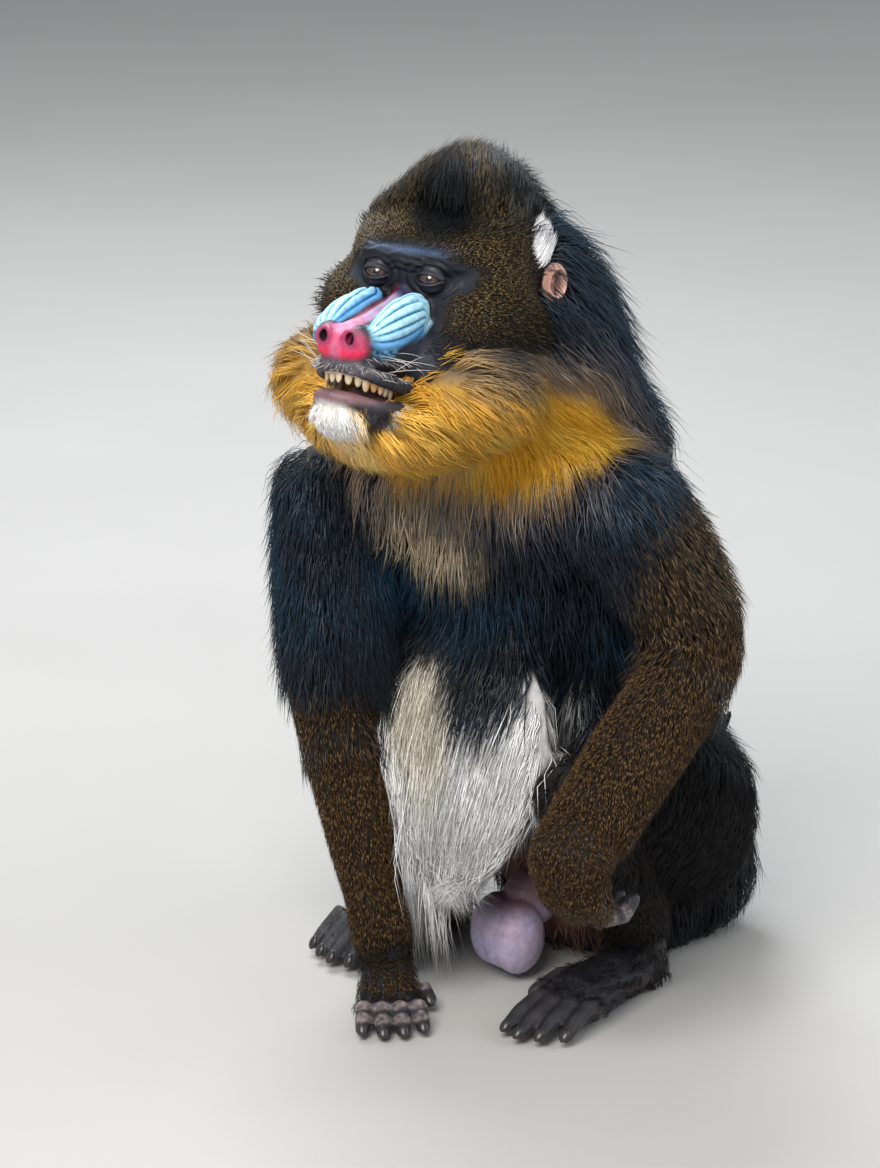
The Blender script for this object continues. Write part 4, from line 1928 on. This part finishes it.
def body_coats(skin, ends, tree):
    """Mantle, flanks, limbs, belly and ruff."""
    dark = coat_finish("dark_coat", 0.38, 0.50, (0.28, 0.18, 0.06, 1), 0.40)
    pale = coat_finish("pale_coat", 0.55, 0.35, (0.95, 0.90, 0.80, 1), 0.88, 0.10)
    brown = coat_finish("brown_coat", 0.50, 0.25, (0.32, 0.18, 0.055, 1), 0.45)
    body, limbs = Surface([skin]), Surface([skin, *ends])
    areas, trunk_areas = BODY_AREAS, BODY_AREAS[:TRUNK_AREAS]
    trunk = only("pelvis", "waist", "chest", "neck", extra=not_pale)
    arms = only("upper_arm", extra=not_pale)
    forearms = only("forearm", "hand", extra=off_digits)
    legs = only("thigh", "shank", "foot", extra=off_digits)
    ruff = only("pelvis", "waist", "chest", "neck", extra=in_ruff)
    return [
        grow("coat_back", body, tree, body_fields, trunk_areas, trunk, 12000, 2600, 4, 1,
             0.45, 0.004, finish=dark, thick=1.2),
        grow("coat_flanks", body, tree, body_fields, trunk_areas, trunk, 11500, 3200, 4, 2,
             0.35, 0.005, finish=dark),
        grow("coat_arms", body, tree, body_fields, areas, arms, 11000, 2800, 4, 3,
             0.40, 0.004, finish=dark),
        grow("coat_forearms", limbs, tree, body_fields, areas, forearms, 27500, 5200, 3, 4,
             0.3, 0.0022, finish=brown, thick=0.82),
        grow("coat_legs", limbs, tree, body_fields, areas, legs, 20000, 4400, 3, 5,
             0.3, 0.0030, finish=brown),
        grow("belly_fringe", body, tree, body_fields, trunk_areas, bellied, 13000, 1500, 4, 6,
             0.35, 0.0028, finish=pale),
        grow("ruff", body, tree, body_fields, trunk_areas, ruff, 31000, 2600, 3, 7,
             0.30, 0.0032, finish=pale),
    ], pale


def head_coats(head, jaw, tree, pale):
    """The head's short fur, its long dark hairs, the tufts by the ears, and the beard."""
    olive = coat_finish("olive_coat", 0.55, 0.22, (0.43, 0.29, 0.105, 1), 0.5)
    scalp, chin = Surface([head]), Surface([jaw])
    areas = [Area("head", HEAD @ Vector((0, -0.02, -0.03)), HEAD @ Vector((0, 0.12, 0.0)),
                  0.07, None, 0, 0, 0, 0, 0, OLIVE)]
    return [
        grow("head_fur", scalp, tree, head_fields, areas, furred_head, 31000, 4600, 3, 8,
             0.2, 0.0025, finish=olive, thick=0.9),
        grow("crown_fur", scalp, tree, crown_fields, areas, crowned, 20000, 2400, 3, 10,
             0.3, 0.004, finish=olive, thick=0.9),
        grow("ear_tufts", scalp, tree, ear_tuft_fields, areas, ear_tufted, 1300, 160, 4, 11,
             0.4, 0.0015, finish=pale),
        grow("beard", chin, tree, jaw_fields, areas, bearded, 10000, 1300, 4, 9,
             0.35, 0.003, finish=pale, thick=0.9),
    ]


COAT_SLOTS = {
    "coat_back": "chest", "coat_flanks": "abdomen", "coat_arms": "upper_arm_left",
    "coat_forearms": "forearm_left", "coat_legs": "thigh_left", "belly_fringe": "belly",
    "ruff": "neck", "head_fur": "head", "crown_fur": "head", "ear_tufts": "head",
    "beard": "jaw",
}


def main():
    """Makes every piece, says which nodes it stands for, and puts it on the body."""
    make_stage()
    skin = make_skin()
    head = make_head()
    jaw = make_jaw()
    teeth = make_teeth()
    eyes = {side: make_eye(side) for side in JOINTS}
    lids = {side: make_lids(side) for side in JOINTS}
    ears = {side: make_ear(side) for side in JOINTS}
    scrotum = make_scrotum()
    ends = {name: make_extremity(name, plan) for name, plan in EXTREMITIES.items()}
    nails = {name: make_nails(name, plan) for name, plan in EXTREMITIES.items()}

    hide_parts("pelvis", "abdomen", "chest", "neck", "belly", "tail",
                *(f"{part}_{side}" for part in ("thigh", "shank", "upper_arm", "forearm")
                  for side in JOINTS))
    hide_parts("head")
    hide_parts("jaw")
    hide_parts("teeth")
    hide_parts("scrotum")
    for side in JOINTS:
        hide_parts("eye_" + side)
        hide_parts("ear_" + side)
    for name, obj in ends.items():
        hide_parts(name)

    tree = Surface([skin, head, jaw, *ends.values()]).tree()
    coats, pale = body_coats(skin, ends.values(), tree)
    coats += head_coats(head, jaw, tree, pale)
    whiskers = make_whiskers(tree)

    pieces = [(skin, "chest"), (head, "head"), (jaw, "jaw"), (teeth, "teeth"),
              (scrotum, "scrotum"), (whiskers, "head")]
    pieces += [(coat, COAT_SLOTS[coat.name]) for coat in coats]
    for side in JOINTS:
        pieces += [(eyes[side], "eye_" + side), (lids[side], "head"), (ears[side], "ear_" + side)]
    for name in EXTREMITIES:
        pieces += [(ends[name], name), (nails[name], name)]
    for piece, slot in pieces:
        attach(piece, "root")


main()
